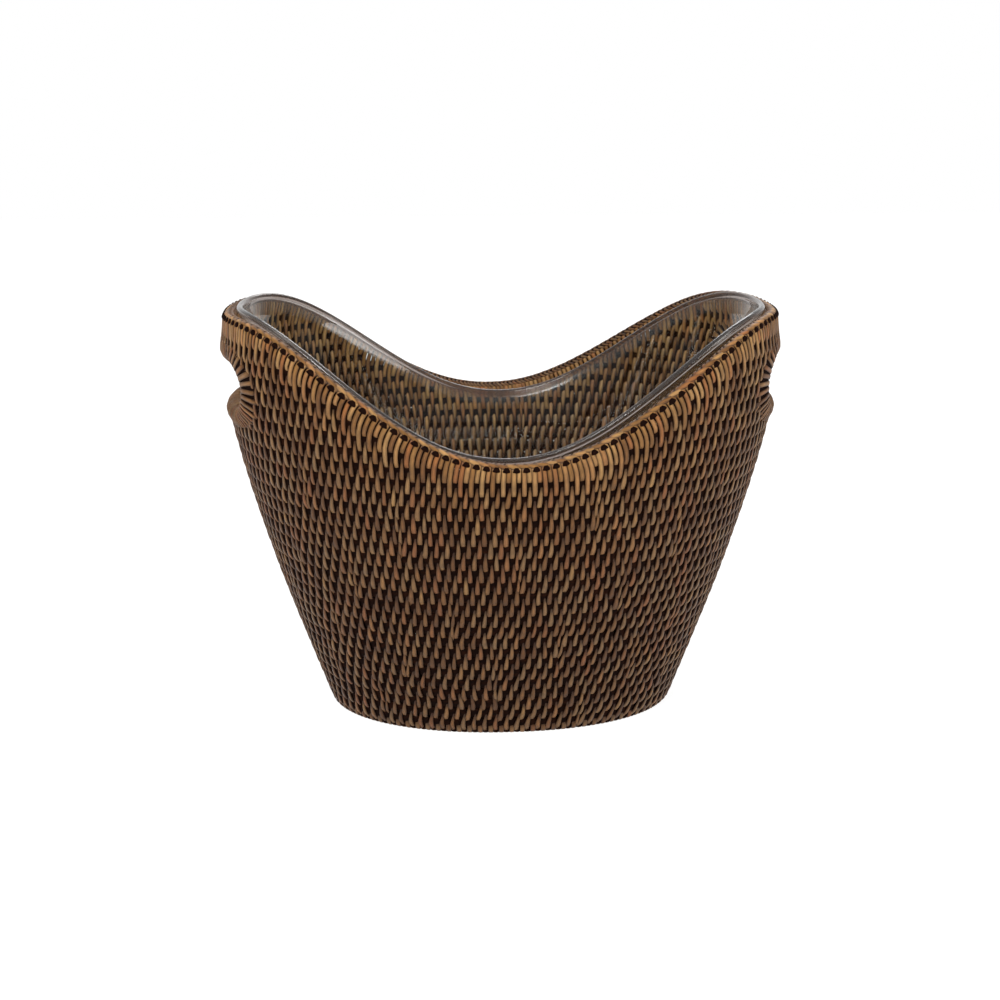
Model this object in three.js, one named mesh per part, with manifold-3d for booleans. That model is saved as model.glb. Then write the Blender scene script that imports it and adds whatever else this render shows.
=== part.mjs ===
// An oval rattan wine bucket: a double woven wall on a frame of rattan poles, with a saddle-shaped rim,
// a hand hole in each end, a woven floor and a clear liner that lifts out.
// Millimetres, +Z up, +X along the oval. The origin is on the ground below the middle of the bucket.
import * as THREE from "three";
import { mergeVertices } from "three/addons/utils/BufferGeometryUtils.js";
import Module from "manifold-3d";

// Middle surface of the wall: half lengths and half widths of its oval sections.
const FOOT_HALF_LENGTH = 106.3;
const FOOT_HALF_WIDTH = 77;
const BELLY_HEIGHT = 98;
const BELLY_HALF_LENGTH = 141.2;
const BELLY_HALF_WIDTH = 107.7;
const SHOULDER_HEIGHT = 178;
const SHOULDER_HALF_LENGTH = 164;
const SHOULDER_HALF_WIDTH = 124.8;
const CREST_HEIGHT = 228;
const CREST_HALF_LENGTH = 171.4;
const CREST_HALF_WIDTH = 126.4;
const RIM_HALF_LENGTH = 170;
const RIM_HALF_WIDTH = 125.5;
const OVAL_POWER = 2.15; // 2 would be a true ellipse, more is squarer

// Saddle of the rim: low at the middle of each side, high at both ends.
const RIM_LOW = 178.5;
const RIM_RISE = 72.7;
const RIM_CROWN = 2.23; // how early the rim climbs to its broad top

// Wall: poles in the middle, a woven skin on each side of them.
const POLE_RADIUS = 2;
const SKIN_GAP = 0.7; // between a skin and the poles behind it
const SKIN_THICKNESS = 1.8;
const WEAVE_RELIEF = 0.8; // from the top of a strand to the hollow beside it
const FIT_GAP = 0.3; // between pieces that bear on each other
const EDGE_GAP = 0.5; // between the edge of a skin and the binding that ends it

// Base.
const HOOP_HEIGHT = 3.9; // middle of the base hoop above the ground
const FLOOR_THICKNESS = 2.5;
const FLOOR_EDGE_GAP = 0.8;
const FLOOR_BAR_PLACES = [-74, -28, 28, 74];

// Hand holes in the two ends.
const HAND_HOLE_DROP = 36.7; // from the highest point of the rim hoop to the middle of the hole
const HAND_HOLE_LENGTH = 100;
const HAND_HOLE_HEIGHT = 27;
const LIP_RADIUS = 6; // round lip laced about the hole

// Ribs, by their angle about the oval, from one end round one side.
const SIDE_RIB_ANGLES = [36, 60, 90, 120, 144];
const END_RIB_ANGLE = 18;

const SIDES = [
  { name: "front", side: -1 },
  { name: "back", side: 1 },
];
const ENDS = [
  { name: "left", side: -1 },
  { name: "right", side: 1 },
];

// Clear liner.
const LINER_WALL = 3.2;
const LINER_FLOOR = 4;
const LINER_CORNER = 12;
const LINER_END_CLEARANCE = 2.15;
const LINER_SIDE_CLEARANCE = 9.9;
const LINER_FOOT_CLEARANCE = 8;
const LINER_PROUD = 2.3; // how far it stands above the rim hoop at the low sides
const LINER_EXTRA_RISE = 3.5;
const LINER_CROWN = 2.08;
const LINER_FLARE = 1.6; // 1 would be a straight taper, more is rounder
const LINER_TURN = -2.75; // degrees, as it was dropped in

// Fineness of the faceted solids.
const OVAL_STEPS = 60;
const WEAVE_ROWS = 26; // rows of the wall's relief
const WALL_STEPS = 10;
const WALL_CROWDING = 1.3; // above 1 the steps lie closer towards the rim, where the wall bends more
const RIB_STEPS = 8;
const LINER_STEPS = 7;
const ROUND_STEPS = 6;
const ROLL_STEPS = 4;
const HOLE_ARC_STEPS = 7;
const HOLE_STRAIGHT_STEPS = 6;
const CORNER_STEPS = 3;

const SKIN_INSIDE = POLE_RADIUS + SKIN_GAP;
const HALF_WALL = SKIN_INSIDE + SKIN_THICKNESS;
const ROOM_RADIUS = POLE_RADIUS + FIT_GAP; // a pole with the fitting gap about it
const RIM_TOP = RIM_LOW + RIM_RISE;
const RIB_BITE = POLE_RADIUS / 2; // a rib reaches past the near side of a hoop and is hollowed to fit it
const RIB_BOTTOM = HOOP_HEIGHT + RIB_BITE;
const FLOOR_UNDERSIDE = HOOP_HEIGHT + POLE_RADIUS + FIT_GAP;
const FLOOR_TOP = FLOOR_UNDERSIDE + FLOOR_THICKNESS;
const HOLE_MIDDLE = RIM_TOP - HAND_HOLE_DROP;

const HEIGHTS = [0, BELLY_HEIGHT, SHOULDER_HEIGHT, CREST_HEIGHT, RIM_TOP];
const HALF_LENGTHS = [
  FOOT_HALF_LENGTH,
  BELLY_HALF_LENGTH,
  SHOULDER_HALF_LENGTH,
  CREST_HALF_LENGTH,
  RIM_HALF_LENGTH,
];
const HALF_WIDTHS = [
  FOOT_HALF_WIDTH,
  BELLY_HALF_WIDTH,
  SHOULDER_HALF_WIDTH,
  CREST_HALF_WIDTH,
  RIM_HALF_WIDTH,
];

const wasm = await Module();
wasm.setup();

const rattan = new THREE.MeshStandardMaterial({ color: 0x7f5f40, roughness: 0.55, metalness: 0 });
const darkRattan = new THREE.MeshStandardMaterial({ color: 0x2a1508, roughness: 0.6, metalness: 0 });
const goldenRattan = new THREE.MeshStandardMaterial({ color: 0xa57f4e, roughness: 0.5, metalness: 0 });
const pole = new THREE.MeshStandardMaterial({ color: 0xb08d5c, roughness: 0.6, metalness: 0 });
const clear = new THREE.MeshStandardMaterial({
  color: 0xd8dedd,
  roughness: 0.05,
  metalness: 0,
  transparent: true,
  opacity: 0.35,
});

// The value at height z of a smooth curve through the values at the given heights.
function through(heights, values, z) {
  const slope = (i) => {
    const before = Math.max(i - 1, 0);
    const after = Math.min(i + 1, heights.length - 1);
    return (values[after] - values[before]) / (heights[after] - heights[before]);
  };
  const passed = heights.filter((h) => h <= z).length;
  const i = Math.min(Math.max(passed - 1, 0), heights.length - 2);
  const span = heights[i + 1] - heights[i];
  const t = (z - heights[i]) / span;
  const ease = t * t * (3 - 2 * t);
  const leave = t * (1 - t) ** 2 * span * slope(i);
  const arrive = -t * t * (1 - t) * span * slope(i + 1);
  return values[i] * (1 - ease) + values[i + 1] * ease + leave + arrive;
}

function halfLength(z) {
  return through(HEIGHTS, HALF_LENGTHS, z);
}

function halfWidth(z) {
  return through(HEIGHTS, HALF_WIDTHS, z);
}

function signedPower(value, power) {
  return Math.sign(value) * Math.abs(value) ** power;
}

// A point of an oval section, at an angle about its middle.
function ovalPoint(angle, length, width, z) {
  const x = length * signedPower(Math.cos(angle), 2 / OVAL_POWER);
  const y = width * signedPower(Math.sin(angle), 2 / OVAL_POWER);
  return new THREE.Vector3(x, y, z);
}

// Outward direction of the wall at a point of its middle surface.
function wallNormal(point) {
  const step = 0.5;
  const a = halfLength(point.z);
  const b = halfWidth(point.z);
  const aSlope = (halfLength(point.z + step) - halfLength(point.z - step)) / (2 * step);
  const bSlope = (halfWidth(point.z + step) - halfWidth(point.z - step)) / (2 * step);
  const x = point.x / a;
  const y = point.y / b;
  const rise = (Math.abs(x) ** OVAL_POWER * aSlope) / a + (Math.abs(y) ** OVAL_POWER * bSlope) / b;
  return new THREE.Vector3(
    signedPower(x, OVAL_POWER - 1) / a,
    signedPower(y, OVAL_POWER - 1) / b,
    -rise,
  ).normalize();
}

// A point that lies off the wall's middle surface by an offset, outwards if positive.
function wallPoint(angle, z, offset) {
  const point = ovalPoint(angle, halfLength(z), halfWidth(z), z);
  return point.addScaledVector(wallNormal(point), offset);
}

function saddle(angle, low, rise, crown) {
  const c = Math.cos(angle) ** 2;
  return low + rise * (crown * c - (crown - 1) * c * c);
}

function rimHeight(angle) {
  return saddle(angle, RIM_LOW, RIM_RISE, RIM_CROWN);
}

function ovalAngles() {
  return Array.from({ length: OVAL_STEPS }, (_, i) => (2 * Math.PI * i) / OVAL_STEPS);
}

// A manifold solid of a geometry, with its faces turned outwards.
function solidOf(geometry) {
  const bare = new THREE.BufferGeometry();
  bare.setAttribute("position", geometry.getAttribute("position"));
  bare.setIndex(geometry.index);
  const merged = mergeVertices(bare, 1e-3);
  const corners = merged.index.array;
  const kept = [];
  for (let i = 0; i < corners.length; i += 3) {
    const [a, b, c] = [corners[i], corners[i + 1], corners[i + 2]];
    if (a !== b && b !== c && c !== a) kept.push(a, b, c);
  }
  const build = (triVerts) =>
    new wasm.Manifold(
      new wasm.Mesh({ numProp: 3, vertProperties: merged.attributes.position.array, triVerts }),
    );
  const made = build(new Uint32Array(kept));
  return made.volume() > 0 ? made : build(new Uint32Array(kept.reverse()));
}

// A closed solid through rings of points, each ring closed on itself and the last joined to the first.
// Where a form closes at its middle, its first and last rings are one point each, repeated. Each panel
// between two rings is folded along one diagonal, or along the other one where it is turned.
function solidOfRings(rings, turned = () => false) {
  const count = rings[0].length;
  const index = [];
  rings.forEach((ring, i) => {
    const here = i * count;
    const next = ((i + 1) % rings.length) * count;
    ring.forEach((_, j) => {
      const k = (j + 1) % count;
      const [a, b, c, d] = [here + j, here + k, next + k, next + j];
      if (turned(i, j)) index.push(a, b, d, b, c, d);
      else index.push(a, b, c, a, c, d);
    });
  });
  const geometry = new THREE.BufferGeometry();
  geometry.setAttribute(
    "position",
    new THREE.Float32BufferAttribute(
      rings.flat().flatMap((p) => [p.x, p.y, p.z]),
      3,
    ),
  );
  geometry.setIndex(index);
  return solidOf(geometry);
}

function meshOf(name, solid, material) {
  const mesh = solid.getMesh();
  const geometry = new THREE.BufferGeometry();
  geometry.setAttribute("position", new THREE.BufferAttribute(new Float32Array(mesh.vertProperties), 3));
  geometry.setIndex(new THREE.BufferAttribute(new Uint32Array(mesh.triVerts), 1));
  const flat = geometry.toNonIndexed();
  flat.computeVertexNormals();
  const piece = new THREE.Mesh(flat, material);
  piece.name = name;
  return piece;
}

// A section carried round a closed path on the middle surface. Across it, its first coordinate runs
// out of the wall and its second along the wall, to the left of the path seen from outside.
function sweepOnWall(path, section, settle = (point) => point) {
  const rings = path.map((point, i) => {
    const before = path[(i + path.length - 1) % path.length];
    const after = path[(i + 1) % path.length];
    const out = wallNormal(point);
    const along = after.clone().sub(before).normalize();
    const across = out.clone().cross(along).normalize();
    return section.map(([n, w]) =>
      settle(point.clone().addScaledVector(out, n).addScaledVector(across, w)),
    );
  });
  return solidOfRings(rings);
}

function circleSection(radius) {
  return Array.from({ length: ROUND_STEPS }, (_, i) => {
    const a = (2 * Math.PI * (i + 0.5)) / ROUND_STEPS;
    return [radius * Math.cos(a), radius * Math.sin(a)];
  });
}

// Half a pipe that lies over a pole, on its left side for side = 1 and on its right for side = -1.
function halfPipeSection(innerRadius, outerRadius, side) {
  const arc = (radius) =>
    Array.from({ length: ROLL_STEPS + 1 }, (_, i) => {
      const a = (Math.PI * i) / ROLL_STEPS;
      return [radius * Math.cos(a), side * radius * Math.sin(a)];
    });
  return [...arc(outerRadius), ...arc(innerRadius).reverse()];
}

const rimPath = ovalAngles().map((angle) => wallPoint(angle, rimHeight(angle), 0));
const basePath = ovalAngles().map((angle) => wallPoint(angle, HOOP_HEIGHT, 0));

// The woven skin outside the poles for side = 1, or inside them for side = -1. Its back is smooth, and its
// face has the relief of a plain weave: every second place stands out and is framed by hollows.
function skin(side) {
  const bottom = HOOP_HEIGHT + EDGE_GAP;
  const standsOut = (row, place) => (row + place) % 2 === 0;
  const column = (angle, place) => {
    const top = rimHeight(angle) - EDGE_GAP;
    const heights = (steps) =>
      Array.from({ length: steps + 1 }, (_, i) => top - (top - bottom) * (1 - i / steps) ** WALL_CROWDING);
    const face = heights(WEAVE_ROWS).map((z, row) => {
      const edge = row === 0 || row === WEAVE_ROWS;
      const hollow = edge || standsOut(row, place) ? 0 : WEAVE_RELIEF;
      return wallPoint(angle, z, side * (HALF_WALL - hollow));
    });
    const back = heights(WALL_STEPS).map((z) => wallPoint(angle, z, side * SKIN_INSIDE));
    return [...face, ...back.reverse()];
  };
  const columns = ovalAngles().map(column);
  return solidOfRings(columns, (place, row) => row < WEAVE_ROWS && standsOut(row, place));
}

// The outline of a hand hole as seen from outside, [along the end, height], at the middle of its round
// lip or grown past it by a margin.
function handHoleOutline(margin) {
  const radius = HAND_HOLE_HEIGHT / 2 + LIP_RADIUS + margin;
  const straight = HAND_HOLE_LENGTH / 2 - HAND_HOLE_HEIGHT / 2;
  return [1, -1].flatMap((half) => {
    const arc = Array.from({ length: HOLE_ARC_STEPS + 1 }, (_, i) => {
      const a = Math.PI * (i / HOLE_ARC_STEPS - 0.5);
      return [half * (straight + radius * Math.cos(a)), HOLE_MIDDLE + half * radius * Math.sin(a)];
    });
    const run = Array.from({ length: HOLE_STRAIGHT_STEPS - 1 }, (_, i) => {
      const along = straight * (1 - (2 * (i + 1)) / HOLE_STRAIGHT_STEPS);
      return [half * along, HOLE_MIDDLE + half * radius];
    });
    return [...arc, ...run];
  });
}

// That outline laid on the middle surface of the end that faces side = 1 or -1.
function handHolePath(side, margin = 0) {
  return handHoleOutline(margin).map(([along, z]) => {
    const share = 1 - Math.abs(along / halfWidth(z)) ** OVAL_POWER;
    return new THREE.Vector3(side * halfLength(z) * share ** (1 / OVAL_POWER), side * along, z);
  });
}

// The part of the wall that a hand hole takes out, grown by a margin past the middle of its lip.
function handHolePlug(side, margin) {
  const reach = 3 * HALF_WALL;
  const path = handHolePath(side, margin);
  const middle = new THREE.Vector3(side * halfLength(HOLE_MIDDLE), 0, HOLE_MIDDLE);
  const facing = wallNormal(middle);
  const ring = (offset) => path.map((p) => p.clone().addScaledVector(wallNormal(p), offset));
  const cap = (offset) => path.map(() => middle.clone().addScaledVector(facing, offset));
  return solidOfRings([cap(-reach), ring(-2 * HALF_WALL), ring(2 * HALF_WALL), cap(reach)]);
}

function tube(points, radius) {
  const curve = new THREE.CatmullRomCurve3(points);
  const circle = new THREE.Shape(
    circleSection(radius).map(([x, y]) => new THREE.Vector2(x, y)),
  );
  const options = { steps: points.length - 1, bevelEnabled: false, extrudePath: curve };
  return solidOf(new THREE.ExtrudeGeometry(circle, options));
}

// A pole bent along the wall at one angle, between two heights.
function rib(angle, bottom, top, radius) {
  const steps = Math.max(2, Math.round((RIB_STEPS * (top - bottom)) / RIM_TOP));
  const points = Array.from({ length: steps + 1 }, (_, i) =>
    wallPoint(angle, bottom + ((top - bottom) * i) / steps, 0),
  );
  return tube(points, radius);
}

function floorBar(x, radius) {
  const share = 1 - Math.abs(x / halfLength(HOOP_HEIGHT)) ** OVAL_POWER;
  const reach = halfWidth(HOOP_HEIGHT) * share ** (1 / OVAL_POWER);
  const bar = new THREE.CylinderGeometry(radius, radius, 2 * reach, ROUND_STEPS);
  bar.translate(x, 0, HOOP_HEIGHT);
  return solidOf(bar);
}

function floorWeave() {
  const edge = (z) =>
    ovalAngles().map((angle) => {
      const point = wallPoint(angle, FLOOR_UNDERSIDE, -HALF_WALL - FLOOR_EDGE_GAP);
      return new THREE.Vector3(point.x, point.y, z);
    });
  const centre = (z) => ovalAngles().map(() => new THREE.Vector3(0, 0, z));
  return solidOfRings([centre(FLOOR_TOP), edge(FLOOR_TOP), edge(FLOOR_UNDERSIDE), centre(FLOOR_UNDERSIDE)]);
}

// The liner: a tapered oval cup with a round lip that follows the saddle of the rim.
function linerSolid() {
  const foot = FLOOR_TOP + FIT_GAP;
  const footWall = wallPoint(0, foot, -HALF_WALL).x;
  const footSide = wallPoint(Math.PI / 2, foot, -HALF_WALL).y;
  const footLength = footWall - LINER_FOOT_CLEARANCE;
  const footWidth = footSide - LINER_FOOT_CLEARANCE;
  const top = RIM_TOP + LINER_PROUD + LINER_EXTRA_RISE;
  const tuck = (z) => (1 - Math.min((z - foot) / (top - foot), 1)) ** LINER_FLARE;
  const flared = (z, low, high) => high - (high - low) * tuck(z);
  // The widest mouth that keeps the clearance at each named height of the wall.
  const widest = (low, halves, clearance) => {
    const mouths = HEIGHTS.slice(1).map((z, i) => {
      const inside = halves[i + 1] - (z < RIM_TOP ? Math.max(HALF_WALL, LIP_RADIUS) : HALF_WALL);
      return (inside - clearance - low * tuck(z)) / (1 - tuck(z));
    });
    return Math.min(...mouths);
  };
  const topLength = widest(footLength, HALF_LENGTHS, LINER_END_CLEARANCE);
  const topWidth = widest(footWidth, HALF_WIDTHS, LINER_SIDE_CLEARANCE);
  const point = (angle, z, inset) =>
    ovalPoint(angle, flared(z, footLength, topLength) - inset, flared(z, footWidth, topWidth) - inset, z);
  const lip = (angle) => saddle(angle, RIM_LOW + LINER_PROUD, RIM_RISE + LINER_EXTRA_RISE, LINER_CROWN);
  const wall = (angle, inset, bottom, lastHeight) => {
    const shoulder = bottom + LINER_CORNER;
    const heights = Array.from(
      { length: LINER_STEPS + 1 },
      (_, i) => shoulder + ((lastHeight - shoulder) * i) / LINER_STEPS,
    );
    const corner = Array.from({ length: CORNER_STEPS }, (_, i) => {
      const a = (Math.PI / 2) * (i / CORNER_STEPS);
      const z = shoulder - LINER_CORNER * Math.cos(a);
      return point(angle, z, inset + LINER_CORNER * (1 - Math.sin(a)));
    });
    return [...corner, ...heights.map((z) => point(angle, z, inset))];
  };
  const column = (angle) => {
    const round = LINER_WALL / 2;
    const springing = lip(angle) - round;
    const outer = wall(angle, 0, foot, springing);
    const inner = wall(angle, LINER_WALL, foot + LINER_FLOOR, springing);
    const edge = [0.25, 0.5, 0.75].map((share) => {
      const a = Math.PI * share;
      return point(angle, springing + round * Math.sin(a), round * (1 - Math.cos(a)));
    });
    const under = new THREE.Vector3(0, 0, foot);
    const inside = new THREE.Vector3(0, 0, foot + LINER_FLOOR);
    return [under, ...outer, ...edge, ...inner.reverse(), inside];
  };
  return solidOfRings(ovalAngles().map(column));
}

const rollSection = (side, radius) => halfPipeSection(ROOM_RADIUS, radius, side);

function subtractAll(solid, tools) {
  return tools.reduce((left, tool) => left.subtract(tool), solid);
}

// Every rib, from the base to the rim. At each end two stand below the hand hole, and two short ones
// hold the grip above it.
const sideRibs = SIDES.flatMap(({ name, side }) =>
  SIDE_RIB_ANGLES.map((degrees, i) => {
    const angle = side * THREE.MathUtils.degToRad(degrees);
    return { name: `rib_${name}_${i + 1}`, angle, bottom: RIB_BOTTOM, top: rimHeight(angle) - RIB_BITE };
  }),
);
const endRibs = ENDS.flatMap(({ name, side }) =>
  SIDES.flatMap((half) => {
    const lean = half.side * THREE.MathUtils.degToRad(END_RIB_ANGLE);
    const angle = side > 0 ? lean : Math.PI - lean;
    const top = rimHeight(angle) - RIB_BITE;
    const stem = `rib_${name}_${half.name}`;
    return [
      { name: `${stem}_below_hole`, angle, bottom: RIB_BOTTOM, top: HOLE_MIDDLE },
      { name: `${stem}_above_hole`, angle, bottom: HOLE_MIDDLE, top },
    ];
  }),
);

// What must stay clear of a pole: its own room with the fitting gap.
const rimRoom = sweepOnWall(rimPath, circleSection(ROOM_RADIUS));
const baseRoom = sweepOnWall(basePath, circleSection(ROOM_RADIUS));
const barRooms = FLOOR_BAR_PLACES.map((x) => floorBar(x, ROOM_RADIUS));
const frameRooms = ENDS.map(({ side }) => sweepOnWall(handHolePath(side), circleSection(ROOM_RADIUS)));
const holeRooms = ENDS.map(({ side }) => handHolePlug(side, ROOM_RADIUS));
const holeCuts = ENDS.map(({ side }) => handHolePlug(side, EDGE_GAP));
const ribRooms = [...sideRibs, ...endRibs].map((r) => rib(r.angle, r.bottom, r.top, ROOM_RADIUS));
const skinCuts = [...holeCuts, ...frameRooms, ...ribRooms, rimRoom, baseRoom];

const basket = new THREE.Group();

const outerSkin = skin(1);
basket.add(meshOf("outer_weave", subtractAll(outerSkin, skinCuts), rattan));

const innerSkin = skin(-1);
basket.add(meshOf("inner_weave", subtractAll(innerSkin, [...skinCuts, ...barRooms]), rattan));

basket.add(meshOf("rim_hoop", sweepOnWall(rimPath, circleSection(POLE_RADIUS)), pole));
basket.add(meshOf("rim_braid", sweepOnWall(rimPath, rollSection(1, HALF_WALL)), goldenRattan));
basket.add(meshOf("base_hoop", sweepOnWall(basePath, circleSection(POLE_RADIUS)), pole));

const onGround = (point) => point.setZ(Math.max(point.z, 0));
const footRoll = sweepOnWall(basePath, rollSection(-1, HALF_WALL), onGround);
basket.add(meshOf("base_binding", subtractAll(footRoll, barRooms), darkRattan));

basket.add(meshOf("floor_weave", floorWeave(), rattan));
FLOOR_BAR_PLACES.forEach((x, i) => {
  const bar = floorBar(x, POLE_RADIUS).subtract(baseRoom);
  basket.add(meshOf(`floor_bar_${i + 1}`, bar, pole));
});

ENDS.forEach(({ name, side }) => {
  const path = handHolePath(side);
  const lacing = sweepOnWall(path, rollSection(1, LIP_RADIUS));
  basket.add(meshOf(`hand_hole_frame_${name}`, sweepOnWall(path, circleSection(POLE_RADIUS)), pole));
  basket.add(meshOf(`hand_hole_lacing_${name}`, lacing, goldenRattan));
});

[...sideRibs, ...endRibs].forEach((r) => {
  const whole = rib(r.angle, r.bottom, r.top, POLE_RADIUS);
  const fitted = subtractAll(whole, [rimRoom, baseRoom, ...holeRooms]);
  basket.add(meshOf(r.name, fitted, pole));
});

const liner = new THREE.Group();
liner.rotation.z = THREE.MathUtils.degToRad(LINER_TURN);
liner.add(meshOf("clear_liner", linerSolid(), clear));

const bucket = new THREE.Group();
bucket.add(basket, liner);

export default bucket;
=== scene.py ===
import math

import bmesh
import bpy
import numpy as np
from bpy.props import FloatProperty, FloatVectorProperty, PointerProperty
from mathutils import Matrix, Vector


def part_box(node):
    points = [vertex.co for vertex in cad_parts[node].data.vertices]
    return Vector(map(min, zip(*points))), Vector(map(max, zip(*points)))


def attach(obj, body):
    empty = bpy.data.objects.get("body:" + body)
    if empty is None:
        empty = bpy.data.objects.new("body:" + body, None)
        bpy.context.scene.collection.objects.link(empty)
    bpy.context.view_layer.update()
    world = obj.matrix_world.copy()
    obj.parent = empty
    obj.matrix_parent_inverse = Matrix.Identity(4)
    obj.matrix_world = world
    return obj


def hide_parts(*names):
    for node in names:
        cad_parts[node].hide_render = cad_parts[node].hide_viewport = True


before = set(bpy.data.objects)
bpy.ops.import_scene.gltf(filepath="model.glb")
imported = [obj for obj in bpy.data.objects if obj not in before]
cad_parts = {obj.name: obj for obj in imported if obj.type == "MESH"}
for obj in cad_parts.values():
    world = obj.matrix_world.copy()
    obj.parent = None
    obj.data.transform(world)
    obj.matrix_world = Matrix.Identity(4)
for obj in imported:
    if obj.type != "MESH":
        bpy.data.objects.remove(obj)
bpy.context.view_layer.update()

bl_info = {
    "name": "Rattan wine bucket",
    "version": (1, 0, 0),
    "blender": (4, 5, 0),
    "location": "3D View > Sidebar > Bucket",
    "description": "Weaves an oval rattan wine bucket and its clear liner round the fixed frame",
    "category": "Add Mesh",
}

MM = 0.001
TAU = 2 * math.pi
UP = np.array([0.0, 0.0, 1.0])
WHITE = (1, 1, 1, 1)
# The random numbers of the outer weave and the base binding start here, and those of the other pieces at the
# numbers that follow.
SEED = 11
GOLDEN_SHARE = 0.6180339887
MOST_TRIANGLES = 180000
# An index that is this far below the length of a table has a next row to blend with.
LAST_CELL = 1.001


def linear(code):
    """The linear colour of an sRGB hex value."""
    values = [int(code[i : i + 2], 16) / 255 for i in (1, 3, 5)]
    return tuple(v / 12.92 if v <= 0.04045 else ((v + 0.055) / 1.055) ** 2.4 for v in values) + (1.0,)


def number(name, description, value, **kind):
    return FloatProperty(name=name, description=description, default=value, **kind)


def size(name, description, millimetres):
    """A length that a user can change, given in millimetres and kept in metres."""
    return number(name, description, millimetres * MM, unit="LENGTH", precision=5)


def share_of(name, description, value):
    return number(name, description, value, subtype="FACTOR")


def angle(name, description, radians):
    return number(name, description, radians, subtype="ANGLE")


def colour(name, description, code):
    tint = linear(code)
    return FloatVectorProperty(name=name, description=description, default=tint, size=4, subtype="COLOR")


class BucketWall(bpy.types.PropertyGroup):
    """Middle surface of the wall: half lengths and half widths of its oval sections, and its rim."""

    foot_half_length: size("Foot half length", "Half length of the oval on the ground", 106.3)
    foot_half_width: size("Foot half width", "Half width of the oval on the ground", 77)
    belly_height: size("Belly height", "Height of the second oval", 98)
    belly_half_length: size("Belly half length", "Half length of the second oval", 141.2)
    belly_half_width: size("Belly half width", "Half width of the second oval", 107.7)
    shoulder_height: size("Shoulder height", "Height of the third oval", 178)
    shoulder_half_length: size("Shoulder half length", "Half length of the third oval", 164)
    shoulder_half_width: size("Shoulder half width", "Half width of the third oval", 124.8)
    crest_height: size("Crest height", "Height of the widest oval", 228)
    crest_half_length: size("Crest half length", "Half length of the widest oval", 171.4)
    crest_half_width: size("Crest half width", "Half width of the widest oval", 126.4)
    rim_half_length: size("Rim half length", "Half length of the oval at the high ends", 170)
    rim_half_width: size("Rim half width", "Half width of the oval at the high ends", 125.5)
    rim_low: size("Low rim", "Height of the rim hoop at the middle of each side", 178.5)
    rim_rise: size("Rim rise", "How much higher the rim hoop is at both ends", 72.7)
    oval_power: number("Oval power", "2 is a true ellipse, more is squarer", 2.15)
    rim_crown: number("Rim crown", "How early the rim climbs to its top", 2.23)
    hoop_height: size("Base hoop height", "Middle of the base hoop above the ground", 3.9)
    half_wall: size("Half wall", "From the middle surface to the outside of a woven skin", 4.5)
    skin_middle: size("Skin middle", "From the middle surface to the middle of a woven skin", 3.55)


class BucketWeave(bpy.types.PropertyGroup):
    """The upright strands of peel and the dark strips that cross them."""

    strand_width: size("Strand width", "Width of an upright strand", 3.05)
    strand_thickness: size("Strand thickness", "Thickness of an upright strand", 0.9)
    swing: size("Swing", "How far a strand goes in and out from the middle of its skin", 0.8)
    column_pitch_low: size("Strand pitch at the base", "From strand to strand round the base", 3.2)
    column_pitch_high: size("Strand pitch at the rim", "From strand to strand above the shoulder", 2.87)
    first_row: size("First row", "Height of the lowest dark strip, hidden by the base binding", 0.8)
    row_pitch_low: size("Row pitch at the base", "From strip to strip at the base", 7.4)
    row_pitch_rise: size("Row pitch rise", "How much wider the rows are at the low rim", 1.2)
    bulge_power: number("Bulge", "1 is a round arch over a strip, less is flatter", 0.55)
    strip_share: share_of("Strip share", "Height of a dark strip as a share of the row pitch", 0.97)
    strip_thickness: size("Strip thickness", "Thickness of a dark strip", 1.1)
    strip_place: size("Strip place", "From the middle of its skin to the middle of a dark strip", -0.55)
    strip_swing: size("Strip swing", "How far a dark strip goes in and out", 0.2)
    lowest_strip: size("Lowest strip", "Middle of the lowest dark strip above the ground", 2.2)
    untidy: size("Untidiness", "How far a strand strays sideways", 0.12)
    # The darkening where a strand dives under a strip is painted shade, with some stain.
    stain_depth: share_of("Stain depth", "How dark the stain is where a strand dives under a strip", 0.92)
    lean: share_of("Lean", "Sideways lean of a strand for each unit of its height, at the base", 0.16)
    twist: share_of("Twist", "How far the strands drift round the wall for each unit of height", 0.04)
    end_share: share_of("End share", "How many more new strands join at the ends than at the faces", 0.35)
    taper: share_of("Taper", "Width of a strand where it dives as a share of its full width", 0.52)
    slow_dive: share_of("Slow dive", "How much slower a strand dives at its slim end", 0.3)
    rim_margin: size("Rim margin", "The last dark strip ends this far below the rim hoop", 6.5)
    rim_bend: size("Rim bend", "Below the rim, the strands turn square to it over this height", 12)


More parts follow.
